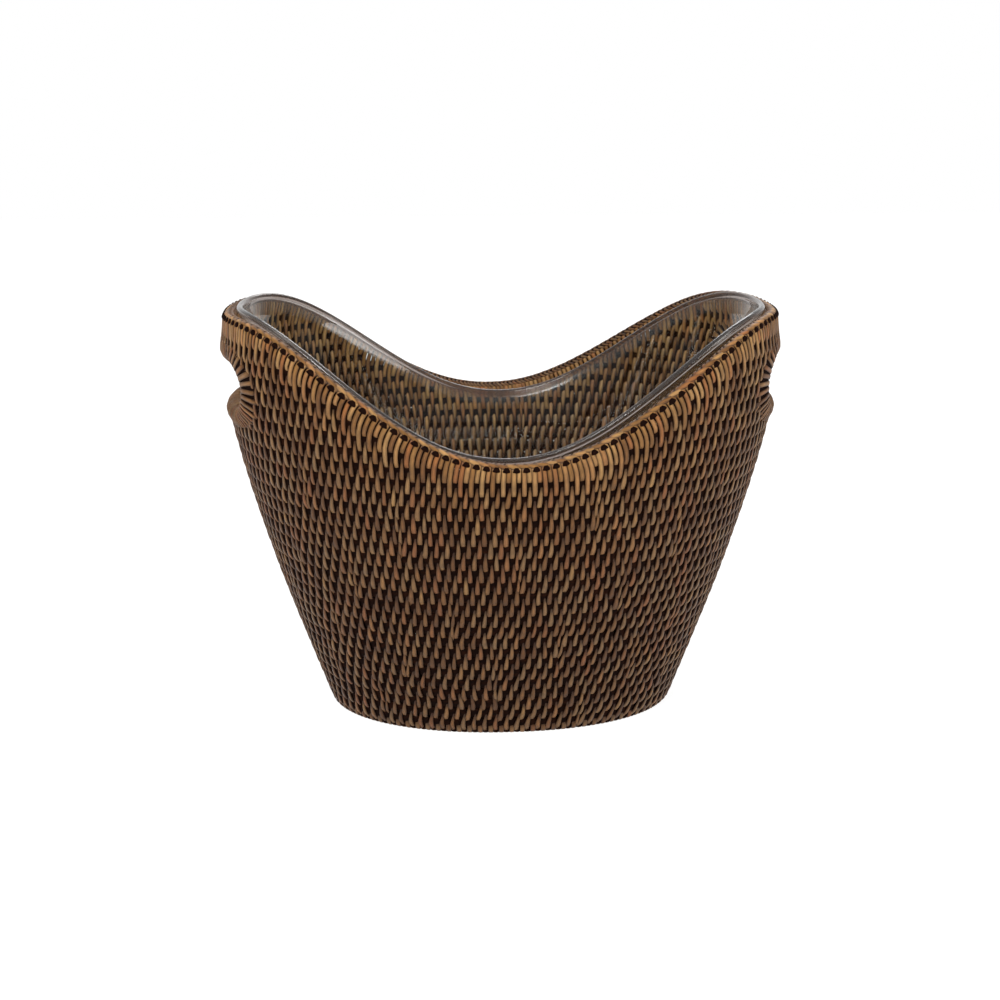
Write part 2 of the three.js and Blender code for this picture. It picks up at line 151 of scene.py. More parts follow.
class BucketRim(bpy.types.PropertyGroup):
    """The braid over the top edge."""

    loop_radius: size("Loop radius", "Middle of the strands that loop over the rim hoop", 4.35)
    loop_end: angle("Loop end", "Where an outer loop tucks in", 0.85)
    inner_loop_end: angle("Inner loop end", "Where an inner loop tucks in", 0.22)
    # The dark stitches are painted shadow: near-black dots laid where the gaps at the pairs of strands fall
    # into shade.
    dot_angle: angle("Dot angle", "Where the dark stitches lie", 0.47)
    dot_height: size("Dot height", "Height of a dark stitch across the rim", 3.9)
    dot_length: share_of("Dot length", "Half length of a stitch as a share of the pitch of the pairs", 0.35)
    dot_point: share_of("Dot point", "0 has the points of a stitch at its middle, 1 at its top", 0.8)
    core_radius: size("Core radius", "Radius of the dark core under the plait", 3.3)
    braid_radius: size("Braid radius", "Middle of the plait from the middle of the rim hoop", 3.75)
    outer_width: size("Outer plait width", "Width of a strand in the outer row of the plait", 3.4)
    outer_run: number("Outer run", "Pairs that an outer strand runs past", 1.6)
    bead_width: size("Bead width", "Width of a strand in the two brown rows of the plait", 1.75)
    bead_run: number("Bead run", "Pairs that a strand of the brown rows runs past", 0.6)
    braid_thickness: size("Braid thickness", "Thickness of a strand of the plait", 0.75)
    braid_outer_end: angle("Braid foot", "Lowest angle of the plait", 0.62)
    braid_ridge: angle("Braid ridge", "Where the golden row ends, under the brown ones", 1.6)
    braid_inner: angle("Braid inside", "Where the two brown rows meet", 2.3)
    braid_end: angle("Braid end", "Inner edge of the plait", 3.0)


class BucketHandHole(bpy.types.PropertyGroup):
    """The hand hole in each end, measured at the middle of its round lip."""

    drop: size("Drop", "From the highest point of the rim hoop to the middle of the hole", 36.7)
    clear_length: size("Length", "Clear length of the hole", 100)
    clear_height: size("Height", "Clear height of the hole", 27)
    lip_radius: size("Lip radius", "Outside radius of the laced lip", 6)
    lower_bulge: size("Lower bulge", "How much further the lower lip rolls outwards", 1.2)
    lace_reach: size("Lace reach", "How far the lacing runs out over the wall above and below the hole", 5)
    lace_reach_ends: size("Lace reach at the ends", "How far it runs out at the ends of the hole", 10)
    lace_pitch: size("Lace pitch", "From strand to strand along the lip", 3.9)
    lace_gold: share_of("Lace gold", "How golden the lacing is", 0.3)
    fan_pitch_cut: size("Fan pitch cut", "How much closer the strands below the hole are", 1.8)
    fan_width_cut: share_of("Fan width cut", "How much narrower the strands below the hole are", 0.45)


class BucketLiner(bpy.types.PropertyGroup):
    """The clear liner."""

    foot: size("Foot", "Height of its foot above the ground", 9.0)
    foot_half_length: size("Foot half length", "Half length outside at the foot", 97.3)
    foot_half_width: size("Foot half width", "Half width outside at the foot", 67.57)
    mouth_half_length: size("Mouth half length", "Half length outside at the mouth", 164.3)
    mouth_half_width: size("Mouth half width", "Half width outside at the mouth", 111.21)
    lip_low: size("Low lip", "Height of the lip at the middle of each side", 180.8)
    lip_rise: size("Lip rise", "How much higher the lip is at both ends", 77.2)
    lip_crown: number("Lip crown", "How early the lip climbs to its top", 2.1)
    wall: size("Wall", "Thickness of the glass wall", 3.2)
    floor: size("Floor", "Thickness of the glass floor", 4)
    corner: size("Corner", "Radius between wall and floor", 12)
    bead: size("Bead", "Radius of the rounded lip", 2.2)
    bead_out: size("Bead out", "How far the lip flares out from the middle of the wall", 1.2)
    flare: number("Flare", "1 is a straight taper, more is rounder", 1.6)
    turn: angle("Turn", "As it was dropped in", math.radians(-2.75))


class BucketColours(bpy.types.PropertyGroup):
    """Colours of the finishes."""

    peel_dark: colour("Peel, dark", "Darkest upright strands", "#5A3A20")
    peel_brown: colour("Peel, brown", "Common upright strands", "#795330")
    peel_grey: colour("Peel, grey brown", "Weathered upright strands", "#7E6041")
    peel_red: colour("Peel, red brown", "A few reddish strands", "#7E4E2E")
    peel_light: colour("Peel, light", "Lightest upright strands", "#957044")
    gold_dark: colour("Gold, dark", "Darkest strands of the rim", "#82562B")
    gold_mid: colour("Gold, middle", "Common strands of the rim", "#9C6E37")
    gold_red: colour("Gold, red", "A few orange strands of the rim", "#9E6130")
    gold_light: colour("Gold, light", "Lightest strands of the rim", "#BD9058")
    # This colour paints shade, with some stain, on the strands, and the real stain of the poles' streaks.
    stain: colour("Stain", "Dark stain in the hollows", "#240E04")
    strip: colour("Dark strip", "Dyed cross strips", "#120502")
    strip_light: colour("Dark strip, worn", "Worn places of the dyed strips", "#2A1206")
    pole: colour("Pole", "Stained rattan poles of the frame", "#4A2E18")
    glass: colour("Glass", "Tint of the liner", "#F4F8F6")
    # The lip's grey is painted: it stands for the reflections and shade seen in the thick rounded edge of the
    # glass.
    glass_lip: colour("Glass lip", "Tint of the liner's ground lip", "#A0948E")
    backdrop: colour("Backdrop", "Pale studio floor", "#F4F4F4")


class BucketCamera(bpy.types.PropertyGroup):
    """The view of the picture."""

    azimuth: angle("Azimuth", "Round the bucket", math.radians(-3.99))
    elevation: angle("Elevation", "Above", math.radians(14.12))
    distance: size("Distance", "From the point it looks at", 1200)
    aim_height: size("Aim", "Height of the point it looks at", 140)
    lens: number("Lens", "Focal length in millimetres", 66.7)
    shift: number("Shift", "Vertical shift of the frame", -0.0166)
    sideways: number("Sideways shift", "Sideways shift of the frame", -0.001)


GROUPS = {
    "bucket_wall": BucketWall,
    "bucket_weave": BucketWeave,
    "bucket_rim": BucketRim,
    "bucket_hand_hole": BucketHandHole,
    "bucket_liner": BucketLiner,
    "bucket_colours": BucketColours,
    "bucket_camera": BucketCamera,
}


def unit(vectors):
    return vectors / np.linalg.norm(vectors, axis=-1, keepdims=True)


def smooth(value, start=0, span=1):
    """0 up to the start, 1 after the span, and a soft step between."""
    t = np.clip((value - start) / span, 0, 1)
    return t * t * (3 - 2 * t)


def signed_power(value, power):
    return np.sign(value) * np.abs(value) ** power


def oval(a, b, turn, power):
    """X and Y on an oval with these half lengths and half widths. A power of 2 makes a true ellipse."""
    return a * signed_power(np.cos(turn), 2 / power), b * signed_power(np.sin(turn), 2 / power)


def circle(steps):
    return np.linspace(0, TAU, steps, endpoint=False)


def turned(out, up, turn):
    """Directions at an angle that starts outwards and goes up."""
    return out * np.cos(turn)[..., None] + up * np.sin(turn)[..., None]


def through(heights, values, z):
    """The value at height z of a smooth curve through the values at the given heights."""
    last = len(heights) - 1
    before = np.maximum(np.arange(last + 1) - 1, 0)
    after = np.minimum(np.arange(last + 1) + 1, last)
    slope = (values[after] - values[before]) / (heights[after] - heights[before])
    i = np.clip(np.searchsorted(heights, z, side="right") - 1, 0, last - 1)
    span = heights[i + 1] - heights[i]
    t = (z - heights[i]) / span
    ease = t * t * (3 - 2 * t)
    bends = t * (1 - t) ** 2 * span * slope[i] - t * t * (1 - t) * span * slope[i + 1]
    return values[i] * (1 - ease) + values[i + 1] * ease + bends


def saddle(turn, low, rise, crown):
    """Height of an edge that is low at the middle of each side and high at both ends."""
    c = np.cos(turn) ** 2
    return low + rise * (crown * c - (crown - 1) * c * c)


class Wall:
    """The middle surface of the bucket's wall."""

    STEPS = 1440
    LEVELS = 64
    # How far the table of angles goes on below the ground and above the rim.
    MARGIN = 0.01
    NORMAL_STEP = 0.5 * MM
    # Steps in the share of the way round, for the rim's slope and for its direction.
    SLOPE_STEP, RIM_STEP = 0.0005, 0.0004
    RIM_TRIES = 8

    def __init__(self, s):
        self.s = s
        self.top = s.rim_low + s.rim_rise
        self.heights = np.array([0, s.belly_height, s.shoulder_height, s.crest_height, self.top])
        ovals = ("foot", "belly", "shoulder", "crest", "rim")
        self.lengths = np.array([getattr(s, f"{name}_half_length") for name in ovals])
        self.widths = np.array([getattr(s, f"{name}_half_width") for name in ovals])
        self.levels = np.linspace(-self.MARGIN, self.top + self.MARGIN, self.LEVELS)
        turns = np.linspace(0, TAU, self.STEPS + 1)
        even = np.linspace(0, 1, self.STEPS + 1)
        self.table, self.girths = [], []
        for z in self.levels:
            ring = self.middle(turns, np.full_like(turns, z))
            walk = np.concatenate([[0], np.cumsum(np.linalg.norm(np.diff(ring, axis=0), axis=1))])
            self.table.append(np.interp(even, walk / walk[-1], turns))
            self.girths.append(walk[-1])
        self.table = np.array(self.table)

    def halves(self, z):
        return through(self.heights, self.lengths, z), through(self.heights, self.widths, z)

    def middle(self, turn, z):
        x, y = oval(*self.halves(z), turn, self.s.oval_power)
        return np.stack([x, y, z + 0 * x], axis=-1)

    def normal(self, point):
        """Outward direction of the wall at a point of its middle surface."""
        step, power = self.NORMAL_STEP, self.s.oval_power
        z = point[..., 2]
        a, b = self.halves(z)
        (a1, b1), (a0, b0) = self.halves(z + step), self.halves(z - step)
        x, y = point[..., 0] / a, point[..., 1] / b
        x_rise = np.abs(x) ** power * (a1 - a0) / (2 * step) / a
        y_rise = np.abs(y) ** power * (b1 - b0) / (2 * step) / b
        slopes = [signed_power(x, power - 1) / a, signed_power(y, power - 1) / b, -(x_rise + y_rise)]
        return unit(np.stack(slopes, axis=-1))

    def angle(self, share, z):
        """The section's angle at a share of the way round it."""
        turn = np.floor(share)
        column = (share - turn) * self.STEPS
        level = (z - self.levels[0]) / (self.levels[1] - self.levels[0])
        level = np.clip(level, 0, self.LEVELS - LAST_CELL)
        i, j = level.astype(int), np.minimum(column.astype(int), self.STEPS - 1)
        up, on = level - i, column - j
        low = self.table[i, j] * (1 - on) + self.table[i, j + 1] * on
        high = self.table[i + 1, j] * (1 - on) + self.table[i + 1, j + 1] * on
        return low * (1 - up) + high * up + TAU * turn

    def girth(self, z):
        return np.interp(z, self.levels, self.girths)

    def rim_height(self, turn):
        return saddle(turn, self.s.rim_low, self.s.rim_rise, self.s.rim_crown)

    def at(self, share, z, out):
        """Points at a share of the way round, at a height and an offset, and the outward directions there."""
        share, z, out = np.broadcast_arrays(share, z, out)
        point = self.middle(self.angle(share, z), z)
        normal = self.normal(point)
        return point + normal * out[..., None], normal

    def rim_at(self, share):
        """The height of the rim at a share of the way round."""
        z = np.full(np.shape(share), self.s.rim_low + self.s.rim_rise / 2)
        for _ in range(self.RIM_TRIES):
            z = self.rim_height(self.angle(share, z))
        return z

    def rim_slope(self, share):
        """Rise of the rim for each unit of way round, to the right as seen from outside."""
        step = self.SLOPE_STEP
        rise = self.rim_at(share + step) - self.rim_at(share - step)
        return rise / (2 * step * self.girth(self.rim_at(share)))

    def round_rim(self, share, turn, radius):
        """Points about the rim hoop. A turn of 0 is outwards, a quarter is up and a half is inwards."""
        share, turn, radius = np.broadcast_arrays(share, turn, radius)
        centre, out = self.at(share, self.rim_at(share), 0)
        steps = (share - self.RIM_STEP, share + self.RIM_STEP)
        behind, ahead = [self.at(near, self.rim_at(near), 0)[0] for near in steps]
        facing = turned(out, unit(np.cross(out, unit(ahead - behind))), turn)
        return centre + facing * radius[..., None], facing


class Columns:
    """Where every strand of a skin stands at every row. Pairs of strands join as the wall widens."""

    # Width of a strand that has just joined, as a share of its full width, and what each row adds.
    NEW_WIDTH, GROWTH = 0.25, 0.13
    # The row that the first strands count from, so that all of them have their full width.
    LONG_BEFORE = -9
    PLACES = 200

    def __init__(self, wall, s, seed):
        self.random = np.random.RandomState(seed)
        self.wall = wall
        heights = [s.first_row]
        while heights[-1] < wall.top:
            pitch = s.row_pitch_low + s.row_pitch_rise * min(heights[-1] / wall.s.rim_low, 1) ** 2
            heights.append(heights[-1] + pitch)
        self.rows = np.array(heights)

        def wanted(z):
            up = min(z / wall.s.shoulder_height, 1)
            pitch = s.column_pitch_low + (s.column_pitch_high - s.column_pitch_low) * up
            return 2 * int(wall.girth(z) / pitch / 2)

        order = [(self.LONG_BEFORE, i % 2) for i in range(wanted(heights[0]))]
        place = self.random.rand()
        turns = np.linspace(0, 1, self.PLACES)
        joined = turns + s.end_share * np.sin(2 * TAU * turns) / (2 * TAU)
        for row, z in enumerate(heights[1:], start=1):
            late = z > wall.s.rim_low - s.rim_bend
            for _ in range(0 if late else max(wanted(z) - len(order), 0) // 2):
                place = (place + GOLDEN_SHARE) % 1
                i = int(np.interp(place, joined, turns) * len(order))
                parity = order[i][1]
                order[i + 1 : i + 1] = [(row, 1 - parity), (row, parity)]
        self.born = np.array([o[0] for o in order])
        self.parity = np.array([o[1] for o in order])
        age = np.arange(len(heights))[None, :] - self.born[:, None]
        self.weight = np.where(age < 0, 0, np.clip(self.NEW_WIDTH + self.GROWTH * age, 0, 1))
        walk = np.cumsum(self.weight, axis=0)
        self.shares = (walk - self.weight / 2) / walk[-1] - s.twist * self.rows / wall.girth(self.rows)

    def count(self):
        return len(self.born)

    def height(self, row):
        """The height at a fractional row. Below the first row it goes on at the same pitch."""
        below = self.rows[0] - (self.rows[1] - self.rows[0])
        return np.interp(row, np.arange(-1, len(self.rows)), np.concatenate([[below], self.rows]))

    def row(self, z):
        return np.interp(z, self.rows, np.arange(len(self.rows)))

    def share(self, column, row):
        """The share of the way round of a strand at a fractional row."""
        row = np.clip(row, 0, len(self.rows) - LAST_CELL)
        i = row.astype(int)
        part = row - i
        return self.shares[column, i] * (1 - part) + self.shares[column, i + 1] * part


def deselect_all():
    if bpy.context.object and bpy.context.object.mode != "OBJECT":
        bpy.ops.object.mode_set(mode="OBJECT")
    bpy.ops.object.select_all(action="DESELECT")


def select_edges(test):
    """In edit mode, selects the edges that pass a test, and nothing else."""
    mesh = bmesh.from_edit_mesh(bpy.context.object.data)
    bpy.ops.mesh.select_mode(type="EDGE")
    bpy.ops.mesh.select_all(action="DESELECT")
    for edge in mesh.edges:
        edge.select_set(test(edge))
    mesh.select_flush_mode()
    bmesh.update_edit_mesh(bpy.context.object.data)


class Blank:
    """A straight strip of peel that is copied and bent: its upper edges are rounded off over a share of its
    width, and it is cut across at evenly spaced stations."""

    # The painted shade along both edges, where a rounded strand turns from the light, with some stain in the
    # crevices: its depth, and the shares of the half width where it starts and deepens.
    EDGE_STAIN, EDGE_START, EDGE_SPAN = 0.9, 0.55, 0.45
    TOUCHING = 1e-6

    def __init__(self, width, thickness, stations, rounding=0.42, steps=2):
        deselect_all()
        bpy.ops.mesh.primitive_cube_add(size=1)
        bpy.ops.object.mode_set(mode="EDIT")
        select_edges(self.runs_along_the_top)
        bpy.ops.mesh.bevel(offset=rounding, segments=steps, affect="EDGES")
        for k in range(1, stations - 1):
            bpy.ops.mesh.select_all(action="SELECT")
            bpy.ops.mesh.bisect(plane_co=(0, k / (stations - 1) - 0.5, 0), plane_no=(0, 1, 0))
        bpy.ops.mesh.select_all(action="SELECT")
        bpy.ops.transform.resize(value=(width, 1, thickness), center_override=(0, 0, 0))
        bpy.ops.object.mode_set(mode="OBJECT")
        mesh = bpy.context.object.data
        points = np.array([v.co for v in mesh.vertices])
        self.across, self.out = points[:, 0], points[:, 2]
        half_shares = np.abs(self.across) / width * 2
        self.edge = self.EDGE_STAIN * smooth(half_shares, self.EDGE_START, self.EDGE_SPAN)
        self.station = np.rint((points[:, 1] + 0.5) * (stations - 1)).astype(int)
        self.faces = [list(p.vertices) for p in mesh.polygons]
        self.triangles = sum(len(f) - 2 for f in self.faces)
        bpy.ops.object.delete()
        bpy.data.meshes.remove(mesh)

    def runs_along_the_top(self, edge):
        start, end = [v.co for v in edge.verts]
        return start.z > 0 and end.z > 0 and abs(start.x - end.x) < self.TOUCHING


def bent(blank, centres, outs, widths=1.0):
    """Points of copies of a blank. Centres and outward directions are copies by stations by 3."""
    run = unit(np.gradient(centres, axis=1))
    right = unit(np.cross(run, outs))
    out = np.cross(right, run)
    k = blank.station
    widths = np.broadcast_to(widths, centres.shape[:2])
    sideways = right[:, k] * (blank.across * widths[:, k])[..., None]
    return centres[:, k] + sideways + out[:, k] * blank.out[None, :, None]


def strand_pieces(name, blank, path, looks, slot, node):
    """Copies of a blank, in pieces of a size that loads fast. The path is centres, outward directions and
    widths. The looks are a tone, a goldness and a painted shade, with some stain. Each piece stands for a
    node of the frame."""
    copies = len(path[0])
    parts = -(-copies // (MOST_TRIANGLES // blank.triangles))
    for k in range(parts):
        chosen = slice(k * copies // parts, (k + 1) * copies // parts)
        label = f"{name}_{k + 1}" if parts > 1 else name
        piece = strand_piece(label, blank, *[values[chosen] for values in (*path, *looks)])
        finish_piece(piece, slot, node)


def strand_piece(name, blank, centres, outs, widths, tone, gold, stain):
    """Copies of a blank as one mesh, with what its finish needs: a tone and a goldness for each copy, and a
    painted shade, with some stain, and a grain that follow the strand."""
    points = bent(blank, centres, outs, widths)
    copies, count = points.shape[:2]
    steps = np.linalg.norm(np.diff(centres, axis=1), axis=2)
    along = np.concatenate([np.zeros((copies, 1)), np.cumsum(steps, axis=1)], axis=1) / MM
    k = blank.station
    tone = np.broadcast_to(tone[:, None], (copies, count))
    # Painted shade, with some stain: the darker of the shade at the ends and the shade along the edges.
    stain = np.maximum(stain[:, k], blank.edge[None, :])
    looks = np.stack([tone, gold[:, k], stain, np.ones_like(tone)], axis=-1)
    across = np.broadcast_to(blank.across / MM, (copies, count))
    # Each tone has a grain of its own, these millimetres of noise further on.
    grain = np.stack([across, along[:, k] + 97 * tone, 53 * tone + blank.out[None, :] / MM], axis=-1)

    corners = np.concatenate([np.array(f) for f in blank.faces])
    lengths = np.array([len(f) for f in blank.faces])
    loops = (np.arange(copies)[:, None] * count + corners[None, :]).ravel()
    starts = np.concatenate([[0], np.cumsum(np.tile(lengths, copies))[:-1]])
    mesh = bpy.data.meshes.new(name)
    mesh.vertices.add(copies * count)
    mesh.vertices.foreach_set("co", points.astype(np.float32).ravel())
    mesh.loops.add(len(loops))
    mesh.loops.foreach_set("vertex_index", loops.astype(np.int32))
    mesh.polygons.add(copies * len(blank.faces))
    mesh.polygons.foreach_set("loop_start", starts.astype(np.int32))
    mesh.update(calc_edges=True)
    for label, kind, key, values in (
        ("strand", "FLOAT_COLOR", "color", looks),
        ("grain", "FLOAT_VECTOR", "vector", grain),
    ):
        mesh.attributes.new(label, kind, "POINT").data.foreach_set(key, values.astype(np.float32).ravel())
    piece = bpy.data.objects.new(name, mesh)
    bpy.context.scene.collection.objects.link(piece)
    return piece


def closed_sheet(name, rings, tube, marks=None):
    """A closed body through rings of points. A tube closes on itself both ways, and anything else is capped.
    Marks give each ring a value that its finish reads."""
    levels, count = rings.shape[:2]
    cells = levels if tube else levels - 1
    deselect_all()
    bpy.ops.mesh.primitive_grid_add(x_subdivisions=count, y_subdivisions=cells, size=2)
    piece = bpy.context.object
    piece.name = piece.data.name = name
    grid = np.array([v.co for v in piece.data.vertices])
    i = np.rint((grid[:, 0] + 1) / 2 * count).astype(int) % count
    j = np.rint((grid[:, 1] + 1) / 2 * cells).astype(int) % levels
    piece.data.vertices.foreach_set("co", rings[j, i].astype(np.float32).ravel())
    if marks is not None:
        mark = piece.data.attributes.new("mark", "FLOAT", "POINT")
        mark.data.foreach_set("value", marks[j].astype(np.float32))
    bpy.ops.object.mode_set(mode="EDIT")
    bpy.ops.mesh.select_all(action="SELECT")
    bpy.ops.mesh.remove_doubles(threshold=1e-6)
    bpy.ops.mesh.fill_holes(sides=0)
    bpy.ops.mesh.normals_make_consistent(inside=False)
    bpy.ops.object.mode_set(mode="OBJECT")
    return piece


def finish_piece(piece, slot, node, body="basket", smooth_angle=math.radians(62)):
    """Smooths a piece's round faces, gives it the finish of its slot and its body, and hides the node it
    stands for.
    """
    deselect_all()
    piece.select_set(True)
    bpy.context.view_layer.objects.active = piece
    bpy.ops.object.shade_smooth_by_angle(angle=smooth_angle)
    piece.data.materials.clear()
    piece.data.materials.append(material(*FINISHES[slot]))
    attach(piece, body)
    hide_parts(node)


# A mix node's sockets have the same names for numbers and for colours, so they go by their places: the share
# of the second value, the two numbers, the two colours, and the colour that comes out.
SHARE, NUMBER_1, NUMBER_2, COLOUR_1, COLOUR_2, MIXED_COLOUR = 0, 2, 3, 6, 7, 2


def add(tree, kind, sockets=None, links=(), stops=(), **settings):
    """Adds a shader node with its settings, its sockets' values, links from (socket, output) pairs and, where
    it is a ramp, its stops."""
    node = tree.nodes.new("ShaderNode" + kind)
    for key, value in settings.items():
        setattr(node, key, value)
    for key, value in (sockets or {}).items():
        node.inputs[key].default_value = value
    for socket, output in links:
        tree.links.new(output, node.inputs[socket])
    if stops:
        elements = node.color_ramp.elements
        while len(elements) < len(stops):
            elements.new(0.5)
        for element, (place, tint) in zip(elements, stops):
            element.position = place
            element.color = tint
    return node


def material(name, build):
    """The material of this name. The first call makes it, with the surface that the build function gives."""
    made = bpy.data.materials.get(name)
    if made is None:
        made = bpy.data.materials.new(name)
        made.use_nodes = True
        tree = made.node_tree
        tree.nodes.clear()
        surface = build(tree, bpy.context.scene.bucket_colours)
        add(tree, "OutputMaterial", links=[("Surface", surface)])
    return made


# Most of a noise lies between these values, which a map range spreads over its whole change.
NOISE_SPAN = {"From Min": 0.3, "From Max": 0.7}


def peel_grain(tree, across, along):
    """Noise that runs along a strand: fibres this many millimetres wide and long."""
    grain = add(tree, "Attribute", attribute_name="grain").outputs["Vector"]
    scale = {1: (1 / across, 1 / along, 1.0)}
    scaled = add(tree, "VectorMath", scale, [(0, grain)], operation="MULTIPLY").outputs[0]
    return add(tree, "TexNoise", {"Scale": 1.0, "Detail": 3.0}, [("Vector", scaled)]).outputs["Fac"]


def varnished_peel(tree, c):
    """Rattan peel, split, stained brown and brushed with thin varnish: warm mottled browns with a soft sheen,
    fine fibres along each strand, and painted shade, with some stain, along its edges and where it dives
    under the next strip."""
    looks = add(tree, "Attribute", attribute_name="strand").outputs["Color"]
    tone, goldness, stain = add(tree, "SeparateColor", links=[("Color", looks)]).outputs
    browns = ((0.0, c.peel_dark), (0.3, c.peel_brown), (0.55, c.peel_grey), (0.76, c.peel_brown))
    browns += ((0.88, c.peel_red), (1.0, c.peel_light))
    golds = ((0.0, c.gold_dark), (0.35, c.gold_mid), (0.6, c.gold_light), (0.8, c.gold_red))
    golds += ((1.0, c.gold_light),)
    brown, gold = [
        add(tree, "ValToRGB", links=[("Fac", tone)], stops=stops).outputs["Color"]
        for stops in (browns, golds)
    ]
    links = [(SHARE, goldness), (COLOUR_1, brown), (COLOUR_2, gold)]
    both = add(tree, "Mix", links=links, data_type="RGBA").outputs[MIXED_COLOUR]
    fibres = peel_grain(tree, across=0.3, along=9.0)
    patches = peel_grain(tree, across=4.0, along=6.0)
    fine, broad, gloss = [
        add(tree, "MapRange", {**NOISE_SPAN, "To Min": low, "To Max": high}, [("Value", noise)])
        for noise, low, high in ((fibres, 0.7, 1.2), (patches, 0.72, 1.2), (patches, 0.42, 0.58))
    ]
    links = [(0, fine.outputs["Result"]), (1, broad.outputs["Result"])]
    shade = add(tree, "Math", links=links, operation="MULTIPLY").outputs[0]
    grained = add(tree, "VectorMath", links=[(0, both), ("Scale", shade)], operation="SCALE").outputs[0]
    # The painted shade, with some stain, darkens the colour towards the stain colour.
    links = [(SHARE, stain), (COLOUR_1, grained)]
    stained = add(tree, "Mix", {COLOUR_2: c.stain}, links, data_type="RGBA").outputs[MIXED_COLOUR]
    bump = add(tree, "Bump", {"Strength": 0.35, "Distance": 0.08 * MM}, [("Height", fibres)]).outputs[0]
    varnish = {"IOR": 1.5, "Specular IOR Level": 0.26, "Coat Weight": 0.05, "Coat Roughness": 0.3}
    links = [("Base Color", stained), ("Roughness", gloss.outputs["Result"]), ("Normal", bump)]
    return add(tree, "BsdfPrincipled", varnish, links).outputs[0]


def fibrous(tree, fibres, stops, surface):
    """A shader whose colour and fine bump follow the same fibres."""
    tint = add(tree, "ValToRGB", links=[("Fac", fibres)], stops=stops).outputs["Color"]
    bump = add(tree, "Bump", {"Strength": 0.3, "Distance": 0.1 * MM}, [("Height", fibres)]).outputs[0]
    return add(tree, "BsdfPrincipled", surface, [("Base Color", tint), ("Normal", bump)]).outputs[0]


def dyed_strip(tree, c):
    """Rattan core strip, dyed nearly black: dull, with worn brown fibres, so the gaps between the strands
    read as deep brown and not as holes."""
    surface = {"Roughness": 0.8, "IOR": 1.5, "Specular IOR Level": 0.06}
    fibres = peel_grain(tree, across=0.4, along=7.0)
    return fibrous(tree, fibres, ((0.45, c.strip), (0.8, c.strip_light)), surface)


def stained_pole(tree, c):
    """Round rattan pole, stained: mid brown with long dark streaks."""
    place = add(tree, "TexCoord").outputs["Object"]
    scale = {"Scale": (1 / (2 * MM), 1 / (2 * MM), 1 / (14 * MM))}
    scaled = add(tree, "Mapping", scale, [("Vector", place)]).outputs[0]
    streaks = add(tree, "TexNoise", {"Scale": 1.0, "Detail": 4.0}, [("Vector", scaled)]).outputs["Fac"]
    return fibrous(tree, streaks, ((0.3, c.stain), (0.62, c.pole)), {"Roughness": 0.5, "IOR": 1.5})


def blown_glass(tree, c):
    """Soda glass, mould blown: clear, with slow waves in its surface that bend the weave behind it and break
    up the highlights, and a soft grey band painted on the lip, for the reflections and shade in its thick
    rounded edge, where the surface is also a little rough. It lets the lamps through to the weave behind it."""
    place = add(tree, "TexCoord").outputs["Object"]
    size_of_waves = {"Scale": 1 / (38 * MM), "Detail": 1.0}
    waves = add(tree, "TexNoise", size_of_waves, [("Vector", place)]).outputs["Fac"]
    bump = add(tree, "Bump", {"Strength": 0.25, "Distance": 0.6 * MM}, [("Height", waves)]).outputs[0]
    lip = add(tree, "Attribute", attribute_name="mark").outputs["Fac"]
    tints = {COLOUR_1: c.glass, COLOUR_2: c.glass_lip}
    tint = add(tree, "Mix", tints, [(SHARE, lip)], data_type="RGBA").outputs[MIXED_COLOUR]
    # On the lip the glass is a little rough and lets less light through, so that its grey tint paints the
    # reflections and shade of the thick edge.
    roughness, clearness = [
        add(tree, "MapRange", {"To Min": wall, "To Max": ground}, [("Value", lip)]).outputs["Result"]
        for wall, ground in ((0.0, 0.14), (1.0, 0.93))
    ]
    links = [("Base Color", tint), ("Roughness", roughness), ("Normal", bump)]
    links.append(("Transmission Weight", clearness))
    glass = add(tree, "BsdfPrincipled", {"IOR": 1.5}, links).outputs[0]
    clear = add(tree, "BsdfTransparent", {"Color": c.glass}).outputs[0]
    shadow = add(tree, "LightPath").outputs["Is Shadow Ray"]
    return add(tree, "MixShader", links=[(0, shadow), (1, glass), (2, clear)]).outputs[0]


def seen(tree):
    """1 for what the camera, a reflection or a refraction sees, and 0 for the light on the bucket."""
    rays = add(tree, "LightPath").outputs
    either = rays["Is Camera Ray"]
    for ray in ("Is Glossy Ray", "Is Transmission Ray"):
        either = add(tree, "Math", links=[(0, either), (1, rays[ray])], operation="MAXIMUM").outputs[0]
    return either


def studio_paper(tree, c):
    """Pale seamless paper: the eye sees it nearly white, with the bucket's soft shadow on it, and the bucket
    gets only the light that plain paper gives back."""
    dull = add(tree, "BsdfDiffuse", {"Color": (0.3, 0.3, 0.3, 1)}).outputs[0]
    glow = add(tree, "Emission", {"Color": WHITE, "Strength": 0.88}).outputs[0]
    both = add(tree, "AddShader", links=[(0, dull), (1, glow)]).outputs[0]
    plain = add(tree, "BsdfDiffuse", {"Color": c.backdrop}).outputs[0]
    return add(tree, "MixShader", links=[(0, seen(tree)), (1, plain), (2, both)]).outputs[0]


# The material of each slot: its name and the function that makes its surface.
PEEL = ("varnished rattan peel", varnished_peel)
FINISHES = {
    "woven_rattan": PEEL,
    "braided_rattan": PEEL,
    "dark_rattan": ("dyed rattan strip", dyed_strip),
    "clear_glass": ("mould blown soda glass", blown_glass),
}


